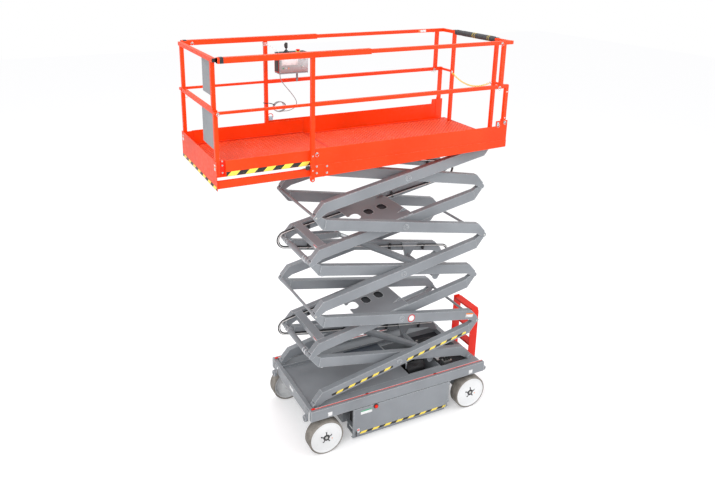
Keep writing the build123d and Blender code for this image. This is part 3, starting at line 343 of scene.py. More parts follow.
# softened edges on the steelwork: the first word that is in a node's name
EDGE = {"arms": 0.0025, "rails": 0.003, "beam": 0.002, "rail": 0.003, "deck": 0.0012, "ladder": 0.0012,
        "tray": 0.0012, "guard": 0.0012, "rim": 0.0015, "tyre": 0.003, "barrel": 0.0015, "rod": 0.001,
        "well": 0.001, "cover": 0.001, "trim": 0.001, "axle": 0.002, "knuckle": 0.0015, "posts": 0.003,
        "panels": 0.0008, "motor": 0.004, "pack": 0.004, "tank": 0.006}
for node, cad in frame["nodes"].items():
    weld = cad.modifiers.new("weld", "WELD")
    weld.merge_threshold = 0.00001
    flat = cad.modifiers.new("flat", "DECIMATE")
    flat.decimate_type = "DISSOLVE"
    flat.angle_limit = math.radians(0.5)
    bevel = cad.modifiers.new("bevel", "BEVEL")
    bevel.width = next((width for word, width in EDGE.items() if word in node), 0.001)
    bevel.segments = 2
    bevel.limit_method = "ANGLE"
    bevel.angle_limit = math.radians(32)


# ------------------------------ making pieces
def alone(*pieces):
    """Only these pieces are selected, and the first is the active one."""
    bpy.ops.object.select_all(action="DESELECT")
    for piece in pieces:
        piece.select_set(True)
    bpy.context.view_layer.objects.active = pieces[0]


def settle(piece, name, look, body, matrix=None):
    """The piece's place goes into its mesh, and it gets a name, a finish and a body to ride on."""
    alone(piece)
    bpy.ops.object.transform_apply(location=True, rotation=True, scale=True)
    if matrix is not None:
        piece.data.transform(matrix)
        if matrix.determinant() < 0:
            piece.data.flip_normals()
    piece.name = name
    piece.data.name = name
    piece.data.materials.clear()
    piece.data.materials.append(MATERIALS[look])
    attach(piece, body)
    return piece


def bevelled(piece, width, angle=35):
    """Rounds the piece's sharp edges and smooths across them."""
    alone(piece)
    bevel = piece.modifiers.new("bevel", "BEVEL")
    bevel.width = width
    bevel.segments = 2
    bevel.limit_method = "ANGLE"
    bevel.angle_limit = math.radians(angle)
    bevel.harden_normals = False
    bpy.ops.object.modifier_apply(modifier="bevel")
    bpy.ops.object.shade_smooth_by_angle(angle=math.radians(angle))
    return piece


def block(name, low, high, look, body, bevel=0.0015, matrix=None):
    """A box with rounded edges between two corners."""
    low, high = Vector(low), Vector(high)
    bpy.ops.mesh.primitive_cube_add(size=1, location=(low + high) / 2)
    piece = bpy.context.object
    piece.scale = high - low
    bpy.ops.object.transform_apply(location=False, rotation=False, scale=True)
    bevelled(piece, bevel)
    return settle(piece, name, look, body, matrix)


def sided(name, place, sign, low, high, look, body, bevel=0.0003, matrix=None):
    """A block given on the right side of the machine, and mirrored to the left where sign is -1."""
    y0, y1 = sorted((sign * low[1], sign * high[1]))
    return block(name, place(low[0], y0, low[2]), place(high[0], y1, high[2]), look, body, bevel, matrix)


def rod(name, start, end, radius, look, body, sides=24, bevel=0.001):
    """A round bar with broken edges between two points."""
    bpy.ops.mesh.primitive_cylinder_add(vertices=sides, radius=radius, depth=(end - start).length,
                                        location=(start + end) / 2)
    piece = bpy.context.object
    piece.rotation_euler = (end - start).to_track_quat("Z", "Y").to_euler()
    bevelled(piece, bevel)
    return settle(piece, name, look, body)


def stub(name, place, way, low, high, radius, look, body, sides=24, bevel=0.001):
    """A rod along a direction from a place, between two distances."""
    way = Vector(way)
    return rod(name, place + way * low, place + way * high, radius, look, body, sides, bevel)


def hoop(name, centre, normal, radius, wire, look, body, sides=28):
    """A closed ring of round wire."""
    bpy.ops.mesh.primitive_torus_add(location=centre, major_radius=radius, minor_radius=wire,
                                     major_segments=sides, minor_segments=8)
    piece = bpy.context.object
    piece.rotation_euler = Vector(normal).to_track_quat("Z", "Y").to_euler()
    bpy.ops.object.shade_smooth()
    return settle(piece, name, look, body)


def round_line(name, points, radius, sides, steps, closed=False):
    """A smooth curve through the air with a round section."""
    curve = bpy.data.curves.new(name, "CURVE")
    curve.dimensions = "3D"
    curve.bevel_depth = radius
    curve.bevel_resolution = sides
    curve.resolution_u = steps
    curve.use_fill_caps = not closed
    spline = curve.splines.new("NURBS")
    spline.points.add(len(points) - 1)
    for point, place in zip(spline.points, points):
        point.co = (*place, 1)
    spline.order_u = 3
    spline.use_endpoint_u = not closed
    spline.use_cyclic_u = closed
    piece = bpy.data.objects.new(name, curve)
    bpy.context.collection.objects.link(piece)
    return piece


def strand(name, points, radius, look, body, sides=3, closed=False):
    """A round line made a mesh."""
    alone(round_line(name, points, radius, sides, 8, closed))
    bpy.ops.object.convert(target="MESH")
    bpy.ops.object.shade_smooth()
    return settle(bpy.context.object, name, look, body)


def facing(origin, out, up=(0, 0, 1)):
    """A matrix whose Z points out of a surface, with X level along it."""
    z = Vector(out).normalized()
    x = Vector(up).cross(z).normalized()
    turn = Matrix((x, z.cross(x), z)).transposed().to_4x4()
    return Matrix.Translation(origin) @ turn


def raw_rod(radius, low, high, look, sides=24, bevel=0.001):
    """An upright bar at the origin, to be copied."""
    bpy.ops.mesh.primitive_cylinder_add(vertices=sides, radius=radius, depth=high - low,
                                        location=(0, 0, (low + high) / 2))
    piece = bevelled(bpy.context.object, bevel)
    bpy.ops.object.transform_apply(location=True, rotation=True, scale=True)
    piece.data.materials.append(MATERIALS[look])
    return piece


def fused(*pieces):
    """Loose pieces joined as one."""
    alone(*pieces)
    if len(pieces) > 1:
        bpy.ops.object.join()
    return bpy.context.object


def spread(name, piece, matrices, body):
    """Copies of a piece made at the origin, one at each matrix, joined as one; the first is used up."""
    made = []
    for matrix in matrices:
        twin = piece.copy()
        twin.data = piece.data.copy()
        twin.data.transform(matrix)
        if matrix.determinant() < 0:
            twin.data.flip_normals()
        bpy.context.collection.objects.link(twin)
        made.append(twin)
    bpy.data.objects.remove(piece, do_unlink=True)
    joined = fused(*made)
    joined.name = name
    joined.data.name = name
    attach(joined, body)
    return joined


def bolts(name, places, radius, body, look="zinc"):
    """Washers and six-sided heads on surfaces: places is a list of (point, outward direction)."""
    washer = raw_rod(radius * 1.25, 0, radius * 0.25, look, 24, radius * 0.06)
    head = raw_rod(radius, radius * 0.25, radius, look, 6, radius * 0.10)
    spots = [facing(point, out, (0.02, 0.03, 1)) for point, out in places]
    return spread(name, fused(washer, head), spots, body)


def studs(name, places, radius, body, height=0.0012, sides=24, bevel=0.0005):
    """Low round heads on surfaces."""
    head = raw_rod(radius, 0, height, "zinc", sides, bevel)
    return spread(name, head, [facing(place, out) for place, out in places], body)


# ------------------------------ arms
STACK = 0.140  # folded pitch between end pins
ARM_L = math.hypot(SPAN, RISE)
TILT = math.asin(RISE / ARM_L) - math.asin(STACK / ARM_L)
PIN_U = math.sqrt((ARM_L / 2) ** 2 - (STACK / 2) ** 2)
OUTER_FACE = 0.487  # outside of the outer arms
LEVELS = range(1, 6)


def on_arm(level, outer):
    """The frame of one pair of arms: X up along the tube from its middle, Y across, Z out of its top."""
    rising = (level % 2 == 1) == outer
    centre = Vector((PIN_X + SPAN / 2, 0, BASE_PIN_Z + (level - 0.5) * RISE))
    frame_of = Matrix.Rotation(-TILT, 4, "Y")
    if not rising:
        frame_of = Matrix.Scale(-1, 4, (1, 0, 0)) @ frame_of
    return Matrix.Translation(centre) @ frame_of


def arm_body(level, outer):
    return f"{'outer' if outer else 'inner'}_{level}"


# stripe along the lowest outer arms
arm = on_arm(1, True)
MATERIALS["arm_stripes"] = stripes("arm_stripes", arm.to_3x3() @ Vector((1, 0, -1)), 0.150)
for side, sign in SIDES:
    for part, (start, end) in enumerate(((-0.86, -0.09), (0.09, 0.90))):
        sided(f"{side}_arm_stripe_{part}", loose, sign, (start, OUTER_FACE, -0.036),
              (end, OUTER_FACE + FILM, -0.010), "arm_stripes", "outer_1", matrix=arm)

# pin heads and grease nipples of every joint
for level in LEVELS:
    arm, body = on_arm(level, True), arm_body(level, True)
    for side, sign in SIDES:
        out = (0, sign, 0)
        head = arm @ Vector((0, sign * (OUTER_FACE + 0.006), 0))
        stub(f"{side}_centre_cap_{level}", head, out, 0, 0.004, 0.024, "grey", body, 32, 0.002)
        stub(f"{side}_centre_nipple_{level}", head, out, 0.003, 0.010, 0.004, "zinc", body, 12)
        for end, way, back in (("low", -1, 0.0), ("high", 1, 0.0095)):
            pin = arm @ Vector((way * PIN_U, sign * (OUTER_FACE - back), way * STACK / 2))
            stub(f"{side}_{end}_pin_cap_{level}", pin, out, 0, 0.003, 0.011, "zinc", body, 20)

# ------------------------------ wheels
for end in ("front", "rear"):
    for side, sign in SIDES:
        body = f"{end}_{side}_wheel"
        out = Vector((0, sign, 0))
        face = Vector(JOINTS[f"{end}_{side}_roll"]["pos_m"]) + out * 0.0535
        angles = [math.radians(90 + 72 * k) for k in range(5)]
        spokes = [Vector((math.cos(a), 0, math.sin(a))) for a in angles]
        stub(f"{body}_hub_cap", face, out, 0, 0.008, 0.041, "black", body, 8, 0.003)
        stub(f"{body}_spindle_nut", face, out, 0, 0.0095, 0.018, "zinc", body, 6, 0.002)
        bolts(f"{body}_bolts", [(face + spoke * 0.062 - out * 0.004, out) for spoke in spokes], 0.0075, body,
              "black")
        for k, spoke in enumerate(spokes):
            stub(f"{body}_lug_{k}", face, spoke, 0.034, 0.062, 0.0095, "black", body, 12, 0.002)
        mark = face + Vector((0.070, 0, -0.030))
        stub(f"{body}_hub_mark", mark, out, 0, 0.0012, 0.0065, "amber", body, 12, 0.0003)

# ------------------------------ base
TRAY_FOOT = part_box("left_tray")[0][2]
TRIM_LOW, TRIM_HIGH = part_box("base_trim")
SIDE = 0.565  # outside face of beams and trays
for side, sign in SIDES:
    body = f"{side}_tray"
    out = Vector((0, sign, 0))
    sided(f"{side}_tray_stripe", at, sign, (0.51, SIDE, TRAY_FOOT + 0.004),
          (1.655, SIDE + FILM, TRAY_FOOT + 0.030), "side_stripes", body)
    for name, x, z, wide, tall, look, lift in (
            ("label", 0.586, 0.366, 0.142, 0.034, "label", FILM),
            ("label_head", 0.586, 0.391, 0.142, 0.016, "green", FILM),
            ("sticker", 0.490, 0.150, 0.030, 0.052, "label", FILM),
            ("sticker_mark", 0.490, 0.158, 0.024, 0.016, "red", 2 * FILM)):
        sided(f"{side}_tray_{name}", at, sign, (x - wide / 2, SIDE, z - tall / 2),
              (x + wide / 2, SIDE + lift, z + tall / 2), look, body)
    # isolator: black surround with a red knob
    knob = at(0.702, sign * SIDE, 0.408)
    stub(f"{side}_isolator_base", knob, out, 0, 0.006, 0.030, "plastic", body, 32, 0.002)
    stub(f"{side}_isolator_knob", knob, out, 0, 0.022, 0.019, "red", body, 32, 0.005)
    latch = at(0.462, sign * (SIDE + 0.008), 0.120)
    stub(f"{side}_tray_latch_pin", latch, (0, 0, 1), -0.030, 0.030, 0.006, "black", body, 16)
    hoop(f"{side}_tray_lift_ring", at(1.655, sign * (SIDE + 0.010), 0.110), (0.2, sign, 0), 0.017, 0.0035,
         "grey", body)
    for x in (0.14, 1.98):
        sided(f"{side}_blank_square_{round(x * 100)}", at, sign, (x - 0.026, SIDE, 0.458),
              (x + 0.026, SIDE + FILM, 0.506), "label", "base")
    # the trim on the beams: gaps, ends and edge
    for x in (0.605, 1.495):
        sided(f"{side}_trim_gap_{round(x * 100)}", at, sign, (x - 0.016, 0.5185, BEAM_TOP - 0.026),
              (x + 0.016, 0.5340, TRIM_HIGH[2] + 0.003), "plastic", "base", 0.001)
    sided(f"{side}_trim_end", at, sign, (-0.064, 0.5165, 0.566), (-0.022, 0.5345, 0.578), "red",
          "base", 0.004)
    places = [Vector((x, sign * 0.5325, TRIM_HIGH[2] + 0.0005))
              for x in (TRIM_LOW[0], TRIM_LOW[0] / 2, TRIM_HIGH[0] / 2, TRIM_HIGH[0])]
    strand(f"{side}_trim_edge", places, 0.0032, "red", "base", 2)
block("front_beam_sticker", at(-0.0808, -0.07, 0.488), at(-0.080, 0.03, 0.528), "label", "base", 0.0003)

# ------------------------------ platform
RAIL_LOW, RAIL_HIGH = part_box("left_rails")
TOP = RAIL_HIGH[2] - 0.018 - DECK_Z  # centres of the rails above the bottom edge
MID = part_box("extension_left_mid_rail")[0][2] + 0.014 - DECK_Z
RAIL_IN = 0.573  # faces and middle of the side rails
RAIL_OUT = 0.609
RAIL_Y = 0.591
EXT_FACE = 0.568  # outside of the extension's skirts
EXT_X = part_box("extension_deck")[0][0] - PIN_X  # its front face
MAIN_X = RAIL_LOW[0] - PIN_X  # front of the main posts
POST_X = MAIN_X + 0.018  # and their middle
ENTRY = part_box("entry_posts")[0][0] - PIN_X
DECK_FACE = 0.5995  # outside of the deck's sides
KICK_FACE = 0.5955  # and of the kick plates above them
EXT_FLOOR_Z = FLOOR_Z + 0.0053


def mode(name):
    bpy.ops.object.mode_set(mode=name)


def lozenge():
    """One raised mark of tread plate, lens shaped and bevelled, lying along X."""
    bpy.ops.mesh.primitive_cylinder_add(vertices=6, radius=0.5, depth=0.0022, location=(0, 0, 0.0011))
    mark = bpy.context.object
    mark.rotation_euler = (0, 0, math.radians(30))
    bpy.ops.object.transform_apply(location=True, rotation=True, scale=True)
    mark.scale = (0.034, 0.011, 1)
    bpy.ops.object.transform_apply(location=True, rotation=True, scale=True)
    mode("EDIT")
    bpy.ops.mesh.select_mode(type="FACE")
    bpy.ops.mesh.select_all(action="DESELECT")
    mode("OBJECT")
    for face in mark.data.polygons:
        face.select = face.normal.z > 0.9
    mode("EDIT")
    bpy.ops.transform.resize(value=(0.72, 0.55, 1))
    mode("OBJECT")
    for face in mark.data.polygons:
        face.select = face.normal.z < -0.9
    mode("EDIT")
    bpy.ops.mesh.delete(type="FACE")
    mode("OBJECT")
    mark.data.materials.append(MATERIALS["tread"])
    return mark


def tread(name, low, high, body, pitch=0.046, margin=0.02):
    """Tread plate between two corners: two marks at right angles, repeated both ways."""
    first = lozenge()
    first.data.transform(Matrix.Rotation(math.radians(45), 4, "Z"))
    second = first.copy()
    second.data = first.data.copy()
    second.data.transform(Matrix.Rotation(math.radians(90), 4, "Z"))
    second.data.transform(Matrix.Translation((pitch / 2, pitch / 2, 0)))
    bpy.context.collection.objects.link(second)
    cell = fused(first, second)
    for axis in range(2):
        array = cell.modifiers.new(f"row_{axis}", "ARRAY")
        array.use_relative_offset = False
        array.use_constant_offset = True
        array.constant_offset_displace = [pitch if axis == k else 0 for k in range(3)]
        array.count = int((high[axis] - low[axis] - margin) / pitch)
        bpy.ops.object.modifier_apply(modifier=array.name)
    cell.location = (low[0] + margin, low[1] + margin, high[2])
    return settle(cell, name, "tread", body)


block("main_floor_plate", at(-0.010, -0.512, FLOOR_Z - 0.0002), at(2.153, 0.512, FLOOR_Z + 0.0001),
      "tread_floor", "platform", 0.0001)
block("extension_floor_plate", at(EXT_X + 0.044, -0.556, EXT_FLOOR_Z - 0.0002),
      at(0.317, 0.556, EXT_FLOOR_Z + 0.0006), "tread_floor", "extension", 0.0002)
tread("main_floor_tread", at(0.325, -0.512, 0), at(2.150, 0.512, FLOOR_Z), "platform")
tread("extension_floor_tread", at(EXT_X + 0.045, -0.560, 0), at(0.316, 0.560, EXT_FLOOR_Z + 0.0005),
      "extension")

# hazard stripes along the extension's skirts and under its front, labels, and the kick plates' folded tops
for side, sign in SIDES:
    sided(f"{side}_skirt_stripe", at, sign, (-0.908, EXT_FACE, EXT_FLOOR_Z - 0.003),
          (0.300, EXT_FACE + FILM, EXT_FLOOR_Z + 0.038), "skirt_stripes", "extension")
    for part, z, tall, lift, look in (("plate", 0.205, 0.055, 0.0004, "label"),
                                      ("mark", 0.212, 0.016, 0.0008, "amber")):
        sided(f"{side}_kick_label_{part}", on_deck, sign, (EXT_X - lift, 0.523, z - tall / 2),
              (EXT_X, 0.567, z + tall / 2), look, "extension")
    strand(f"{side}_deck_lip", [on_deck(x, sign * 0.5925, 0.2765) for x in (-0.070, 0.4, 1.2, 2.003)],
           0.0035, "orange", "platform")
block("front_kick_stripe", on_deck(EXT_X - 0.0006, -0.590, 0.003), on_deck(EXT_X, 0.590, 0.032),
      "kick_stripes", "extension", 0.0003)
strand("front_kick_lip", [on_deck(EXT_X + 0.0025, y, 0.2635) for y in (-0.590, -0.2, 0.2, 0.590)], 0.0035,
       "orange", "extension")


def ring_pin(name, place, out, body, ring=0.017, stand=0.016):
    """A locking pin with a round head and a split ring hanging from it."""
    out = Vector(out)
    stub(f"{name}_pin", place, out, 0, stand, 0.0058, "zinc", body, 16, min(0.0015, stand * 0.3))
    stub(f"{name}_collar", place, out, 0, stand * 0.3, 0.0105, "zinc", body, 20, min(0.0012, stand * 0.1))
    tilt = 0.25 if stand > 0.01 else 0.0
    hoop(f"{name}_ring", place + out * stand * 0.55 - Vector((0, 0, ring - 0.006)),
         (out.x + tilt / 2, out.y, tilt / 3), ring, min(0.0018, stand * 0.45), "zinc", body)


def square_turn(name, centre, half, wire, look, body):
    """A turn of wire or strap round a square post."""
    bend = ((1, 0.7), (0.96, 0.96), (0.7, 1))
    places = [centre + Vector((cx * half * k, cy * half * m, 0))
              for cx, cy in ((1, 1), (-1, 1), (-1, -1), (1, -1))
              for k, m in (bend if cx == cy else bend[::-1])]
    return strand(name, places, wire, look, body, closed=True)


def tube_cap(name, place, out, body, half=0.0168, stand=0.0035):
    """A plug in the open end of a square tube."""
    low, high = (place + Vector((way * half, way * half, way * half)) for way in (-1, 1))
    for axis in range(3):
        if abs(out[axis]) > 0.5:
            low[axis], high[axis] = sorted((place[axis], place[axis] + out[axis] * stand))
    return block(name, low, high, "plastic", body, 0.0012)


for side, sign in SIDES:
    out, inward = (0, sign, 0), (0, -sign, 0)
    y = sign * RAIL_OUT
    ring_pin(f"{side}_main_post", on_deck(-0.049, sign * KICK_FACE, 0.236), out, "platform", 0.019)
    bolts(f"{side}_post_foot_bolts",
          [(on_deck(x, sign * DECK_FACE, z), out)
           for x, z in ((-0.050, 0.110), (-0.050, 0.045), (0.055, 0.100), (0.055, 0.035))], 0.0085,
          "platform")
    studs(f"{side}_roller_bolt", [(on_deck(POST_X, y, -0.019), out)], 0.009, "platform")
    studs(f"{side}_main_post_bolts", [(on_deck(POST_X, y, z), out) for z in (0.075, 0.215)], 0.0075,
          "platform")
    for number, (x, z) in enumerate(((2.030, 0.300), (2.115, 0.322))):
        ring_pin(f"{side}_corner_{number}", on_deck(x, sign * KICK_FACE, z), out, "platform", 0.019)
        sided(f"{side}_corner_tag_{number}", on_deck, sign, (x - 0.012, KICK_FACE - 0.0003, z - 0.020),
              (x + 0.012, KICK_FACE + 0.0037, z + 0.020), "pale_blue", "platform", 0.001)
    ring_pin(f"{side}_mid_joint", on_deck(2.000, y, MID), out, "platform", 0.020, 0.0065)
    ring_pin(f"{side}_mid_joint_inside", on_deck(2.000, sign * RAIL_IN, MID), inward, "platform", 0.020)
    ring_pin(f"{side}_top_joint", on_deck(1.985, y, TOP), out, "platform", 0.016, 0.0065)
    studs(f"{side}_rear_post_bolts", [(on_deck(2.100, y, z), out) for z in (0.365, 0.640)], 0.0075,
          "platform")
    rear_x = RAIL_HIGH[0] - PIN_X
    tube_cap(f"{side}_rail_rear_cap", on_deck(rear_x, sign * RAIL_Y, TOP), (1, 0, 0), "platform")
    tube_cap(f"{side}_rail_front_cap", on_deck(MAIN_X, sign * RAIL_Y, TOP), (-1, 0, 0), "platform")
    # the extension's sleeves, joints and posts
    collar_x = EXT_X + 0.060
    for part, y_in, y_out, low_z in (("outer", 0.6162, 0.6172, -0.0245), ("inner", 0.5645, 0.5660, -0.0245),
                                     ("top", 0.5645, 0.6172, 0.0250)):
        sided(f"{side}_sleeve_collar_{part}", on_deck, sign, (collar_x, y_in, TOP + low_z),
              (collar_x + 0.034, y_out, TOP + 0.0266), "plastic", "extension", 0.0004)
    ring_pin(f"{side}_sleeve", on_deck(collar_x + 0.085, sign * 0.566, TOP), inward, "extension", 0.015)
    ring_pin(f"{side}_mid_bar", on_deck(EXT_X + 0.030, sign * 0.603, MID), out, "extension", 0.015, 0.012)
    tube_cap(f"{side}_front_rail_cap", on_deck(EXT_X + 0.023, sign * EXT_FACE, TOP), out, "extension")
    bolts(f"{side}_skirt_bolts", [(on_deck(-0.936, sign * 0.548, z), out) for z in (0.256, 0.218, 0.150)],
          0.0065, "extension")
    sided(f"{side}_skirt_bracket", on_deck, sign, (-0.960, 0.5460, 0.130), (-0.912, 0.5480, 0.262), "red",
          "extension", 0.001)
    # plate under the end of the stripe
    sided(f"{side}_stripe_bracket", on_deck, sign, (-0.150, 0.571, 0.082), (-0.114, 0.593, 0.1155), "black",
          "platform", 0.003)

# tabs, tags and rings inside the rails
hoop("far_front_ring", on_deck(EXT_X + 0.048, 0.532, 0.640), (1, 0.4, 0.1), 0.030, 0.0028, "white_wire",
     "extension")
block("far_floor_tab", on_deck(EXT_X + 0.044, 0.5300, 0.1225), on_deck(EXT_X + 0.074, 0.5405, 0.205), "red",
      "extension", 0.002)
block("far_kick_connector", on_deck(-0.070, 0.5840, 0.2775), on_deck(-0.020, 0.6010, 0.322), "pale_blue",
      "platform", 0.004)
hoop("far_kick_arch", on_deck(-0.045, 0.5925, 0.320), (0, 1, 0), 0.030, 0.004, "red", "platform")
block("far_rail_label", on_deck(1.760, 0.5722, TOP - 0.013), on_deck(1.860, 0.573, TOP + 0.013), "label",
      "platform", 0.0003)
block("far_rail_label_edge", on_deck(1.760, 0.5716, TOP - 0.013), on_deck(1.785, 0.5723, TOP + 0.013),
      "amber", "platform", 0.0003)

# front panels: rivets round the edges and a dark strip
panel_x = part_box("front_panels")[1][0] - PIN_X
rivets = []
for y0, y1, z0, z1 in ((-0.370, -0.130, 0.808, 1.140), (-0.460, -0.070, 0.328, 0.712)):
    middle = ((y0 + y1) / 2, (z0 + z1) / 2)
    for y in (y0 + 0.012, middle[0], y1 - 0.012):
        for z in (z0 + 0.012, middle[1], z1 - 0.012):
            if (y, z) != middle:
                rivets.append((on_deck(panel_x, y, z), (1, 0, 0)))
studs("panel_rivets", rivets, 0.0045, "extension", 0.0016, 12, 0.0006)
block("lower_panel_strip", on_deck(panel_x, -0.459, 0.340), on_deck(panel_x + 0.006, -0.440, 0.700), "black",
      "extension", 0.001)


# ------------------------------ control box
def on_box(x, y, z=0.0):
    """A place on the control box: along it, across it from its inner face, above its top."""
    return on_deck(x, 0.425 + y, 1.003 + z)


for name, low, high, look, bevel in (
        ("fascia", (0.004, -0.0035, -0.196), (0.316, 0.0, -0.014), "casing", 0.0015),
        ("top_plate", (-0.003, -0.003, 0.0), (0.323, 0.138, 0.004), "plastic", 0.0018),
        ("face_panel", (0.022, -0.0048, -0.120), (0.205, -0.0035, -0.028), "label", 0.0005),
        ("side_panel", (-0.0035, 0.010, -0.196), (0.0, 0.125, -0.014), "plastic", 0.001),
        ("side_low", (-0.0048, 0.006, -0.196), (-0.0034, 0.129, -0.190), "red", 0.0004),
        ("side_high", (-0.0048, 0.006, -0.020), (-0.0034, 0.129, -0.014), "red", 0.0004),
        ("side_near", (-0.0048, 0.006, -0.196), (-0.0034, 0.012, -0.014), "red", 0.0004),
        ("side_far", (-0.0048, 0.123, -0.196), (-0.0034, 0.129, -0.014), "red", 0.0004)):
    block(f"control_{name}", on_box(*low), on_box(*high), look, "platform", bevel)
screws = [(on_box(x, -0.0035, z), (0, -1, 0)) for x in (0.012, 0.308) for z in (-0.188, -0.022)]
studs("control_screws", screws, 0.0042, "platform", 0.0018, 16, 0.0006)
# joystick with its bellows, and the stop button
stick, stop = on_box(0.100, 0.060), on_box(0.235, 0.070)
for name, foot, low, high, radius, look, sides, bevel in (
        ("joystick_bellows_0", stick, 0.004, 0.011, 0.030, "foam", 28, 0.003),
        ("joystick_bellows_1", stick, 0.010, 0.017, 0.026, "foam", 28, 0.003),
        ("joystick_bellows_2", stick, 0.016, 0.023, 0.021, "foam", 28, 0.003),
        ("joystick_bellows_3", stick, 0.022, 0.029, 0.016, "foam", 28, 0.003),
        ("joystick_shaft", stick, 0.026, 0.050, 0.007, "plastic", 20, 0.001),
        ("joystick_grip", stick, 0.046, 0.104, 0.0155, "plastic", 28, 0.007),
        ("stop_base", stop, 0.004, 0.008, 0.027, "yellow", 32, 0.0012),
        ("stop_stem", stop, 0.008, 0.018, 0.013, "red", 28, 0.001),
        ("stop_button", stop, 0.016, 0.028, 0.021, "red", 32, 0.005)):
    stub(name, foot, (0, 0, 1), low, high, radius, look, "platform", sides, bevel)
block("joystick_trigger", stick + Vector((-0.021, -0.006, 0.060)), stick + Vector((-0.013, 0.006, 0.092)),
      "plastic", "platform", 0.003)
near = (0, -1, 0)  # out of the box's face
for number, (x, look) in enumerate(((0.040, "green"), (0.070, "white"), (0.100, "amber"))):
    stub(f"control_lamp_{number}", on_box(x, 0, -0.150), near, 0.0048, 0.0105, 0.0065, look, "platform", 20,
         0.002)
for number, x in enumerate((0.235, 0.280)):
    stub(f"switch_nut_{number}", on_box(x, 0, -0.070), near, 0.0035, 0.0075, 0.0085, "zinc", "platform", 6)
    rod(f"switch_lever_{number}", on_box(x, -0.0065, -0.070), on_box(x + 0.006, -0.024, -0.064), 0.0028,
        "zinc", "platform", 12)
stub("control_key", on_box(0.255, 0, -0.140), near, 0.0035, 0.010, 0.012, "zinc", "platform", 28, 0.0015)
for number, x in enumerate((0.040, 0.285)):
    stub(f"control_hook_{number}", on_box(x, 0, -0.020), (0, 1, 0), 0.131, 0.152, 0.009, "black", "platform",
         16, 0.002)

# ------------------------------ the control's lead and its hank
LEAD = [(34, 500, 781), (34, 500, 736), (68, 499, 682), (118, 501, 624), (170, 506, 563), (212, 512, 505),
        (232, 519, 462), (222, 525, 422), (194, 528, 398), (160, 524, 388), (128, 520, 381)]
HANK_X, HANK_Z = 40, 430.5
HANK_STEPS = 55  # twelve to a turn
route = [on_deck(x / 1000, y / 1000, z / 1000) for x, y, z in LEAD]
draw = random.Random(4)
for step in range(HANK_STEPS + 1):
    angle = math.radians(-62 - 30 * step)
    wide = 70 + draw.uniform(-1.5, 1.5)
    tall = 54 + draw.uniform(-1.5, 1.5)
    end_y = 519.5 + 0.74 * step
    route.append(on_deck((HANK_X + wide * math.cos(angle)) / 1000, end_y / 1000,
                         (HANK_Z + tall * math.sin(angle)) / 1000))
for x, z in ((72, 474), (93, 452), (88, 420), (62, 402), (32, 404)):
    route.append(on_deck(x / 1000, end_y / 1000, z / 1000))

lead = round_line("control_cable", route, 0.004, 4, 6)
lead.data.materials.append(MATERIALS["cable"])
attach(lead, "platform")
plug = stub("cable_plug", route[-1], (-1, 0, 0), -0.004, 0.030, 0.0065, "plastic", "platform", 24, 0.0015)
plug_ring = stub("cable_plug_ring", route[-1], (-1, 0, 0), 0.012, 0.020, 0.0078, "plastic", "platform", 12,
                 0.0012)
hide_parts("control_lead", "control_coil")
# straps that tie the hank to the post
strand("hank_strap", [on_deck(*place) for place in (
    (-0.042, 0.508, 0.470), (-0.020, 0.508, 0.455), (-0.016, 0.540, 0.452), (-0.020, 0.572, 0.455),
    (-0.045, 0.574, 0.464), (-0.066, 0.574, 0.470))], 0.0045, "plastic", "platform")
square_turn("hank_post_strap", on_deck(POST_X, RAIL_Y, 0.470), 0.0212, 0.0032, "plastic", "platform")

# white wire from the post's head to the controls
strand("post_wire", [on_deck(x, y, TOP - drop) for x, y, drop in (
    (POST_X, 0.5650, 0.055), (-0.050, 0.560, 0.070), (-0.020, 0.530, 0.100), (0.010, 0.500, 0.118),
    (0.030, 0.490, 0.1455))], 0.0028, "white_wire", "platform")
for number, drop in enumerate((0.040, 0.052, 0.066)):
    square_turn(f"post_wire_turn_{number}", on_deck(POST_X, RAIL_Y, TOP - drop), 0.0208, 0.0028,
                "white_wire", "platform")

# ------------------------------ entry: foam, chain, posts
BAR_X = ENTRY + 0.018
FOAM_R = 0.0285
FOAM_HALF = 0.35  # of its length
RING_AT = (-0.262, -0.236, -0.018, 0.018)  # bands that pinch it
bpy.ops.mesh.primitive_cylinder_add(vertices=28, radius=FOAM_R, depth=2 * FOAM_HALF, location=(0, 0, 0))
foam = bpy.context.object
mode("EDIT")
for cut in range(1, 28):
    bpy.ops.mesh.select_all(action="SELECT")
    bpy.ops.mesh.bisect(plane_co=(0, 0, -FOAM_HALF + 0.025 * cut), plane_no=(0, 0, 1))
mode("OBJECT")
for corner in foam.data.vertices:
    along = corner.co.z
    pinch = sum(math.exp(-((along - ring) / 0.012) ** 2) for ring in RING_AT)
    seam = math.exp(-((math.atan2(corner.co.y, corner.co.x) - 0.6) / 0.16) ** 2)
    swell = 1.035 + 0.010 * math.sin(along * 31) - 0.055 * min(1.0, pinch) - 0.05 * seam
    tuck = 0.86 if abs(abs(along) - FOAM_HALF) < 1e-4 else 1.0
    corner.co.x *= swell * tuck
    corner.co.y *= swell * tuck
smooth = foam.modifiers.new("smooth", "SUBSURF")
smooth.levels = 1
smooth.render_levels = 1
alone(foam)
bpy.ops.object.modifier_apply(modifier="smooth")
bpy.ops.object.shade_smooth_by_angle(angle=math.radians(50))
foam = settle(foam, "entry_bar_foam", "foam", "platform",
              Matrix.Translation(on_deck(BAR_X, 0, TOP)) @ Matrix.Rotation(math.radians(90), 4, "X"))
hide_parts("entry_bar")
for number, ring_y in enumerate(RING_AT):
    hoop(f"entry_foam_band_{number}", on_deck(BAR_X, ring_y, TOP), (0, 1, 0), FOAM_R, 0.0022, "yellow",
         "platform", 36)


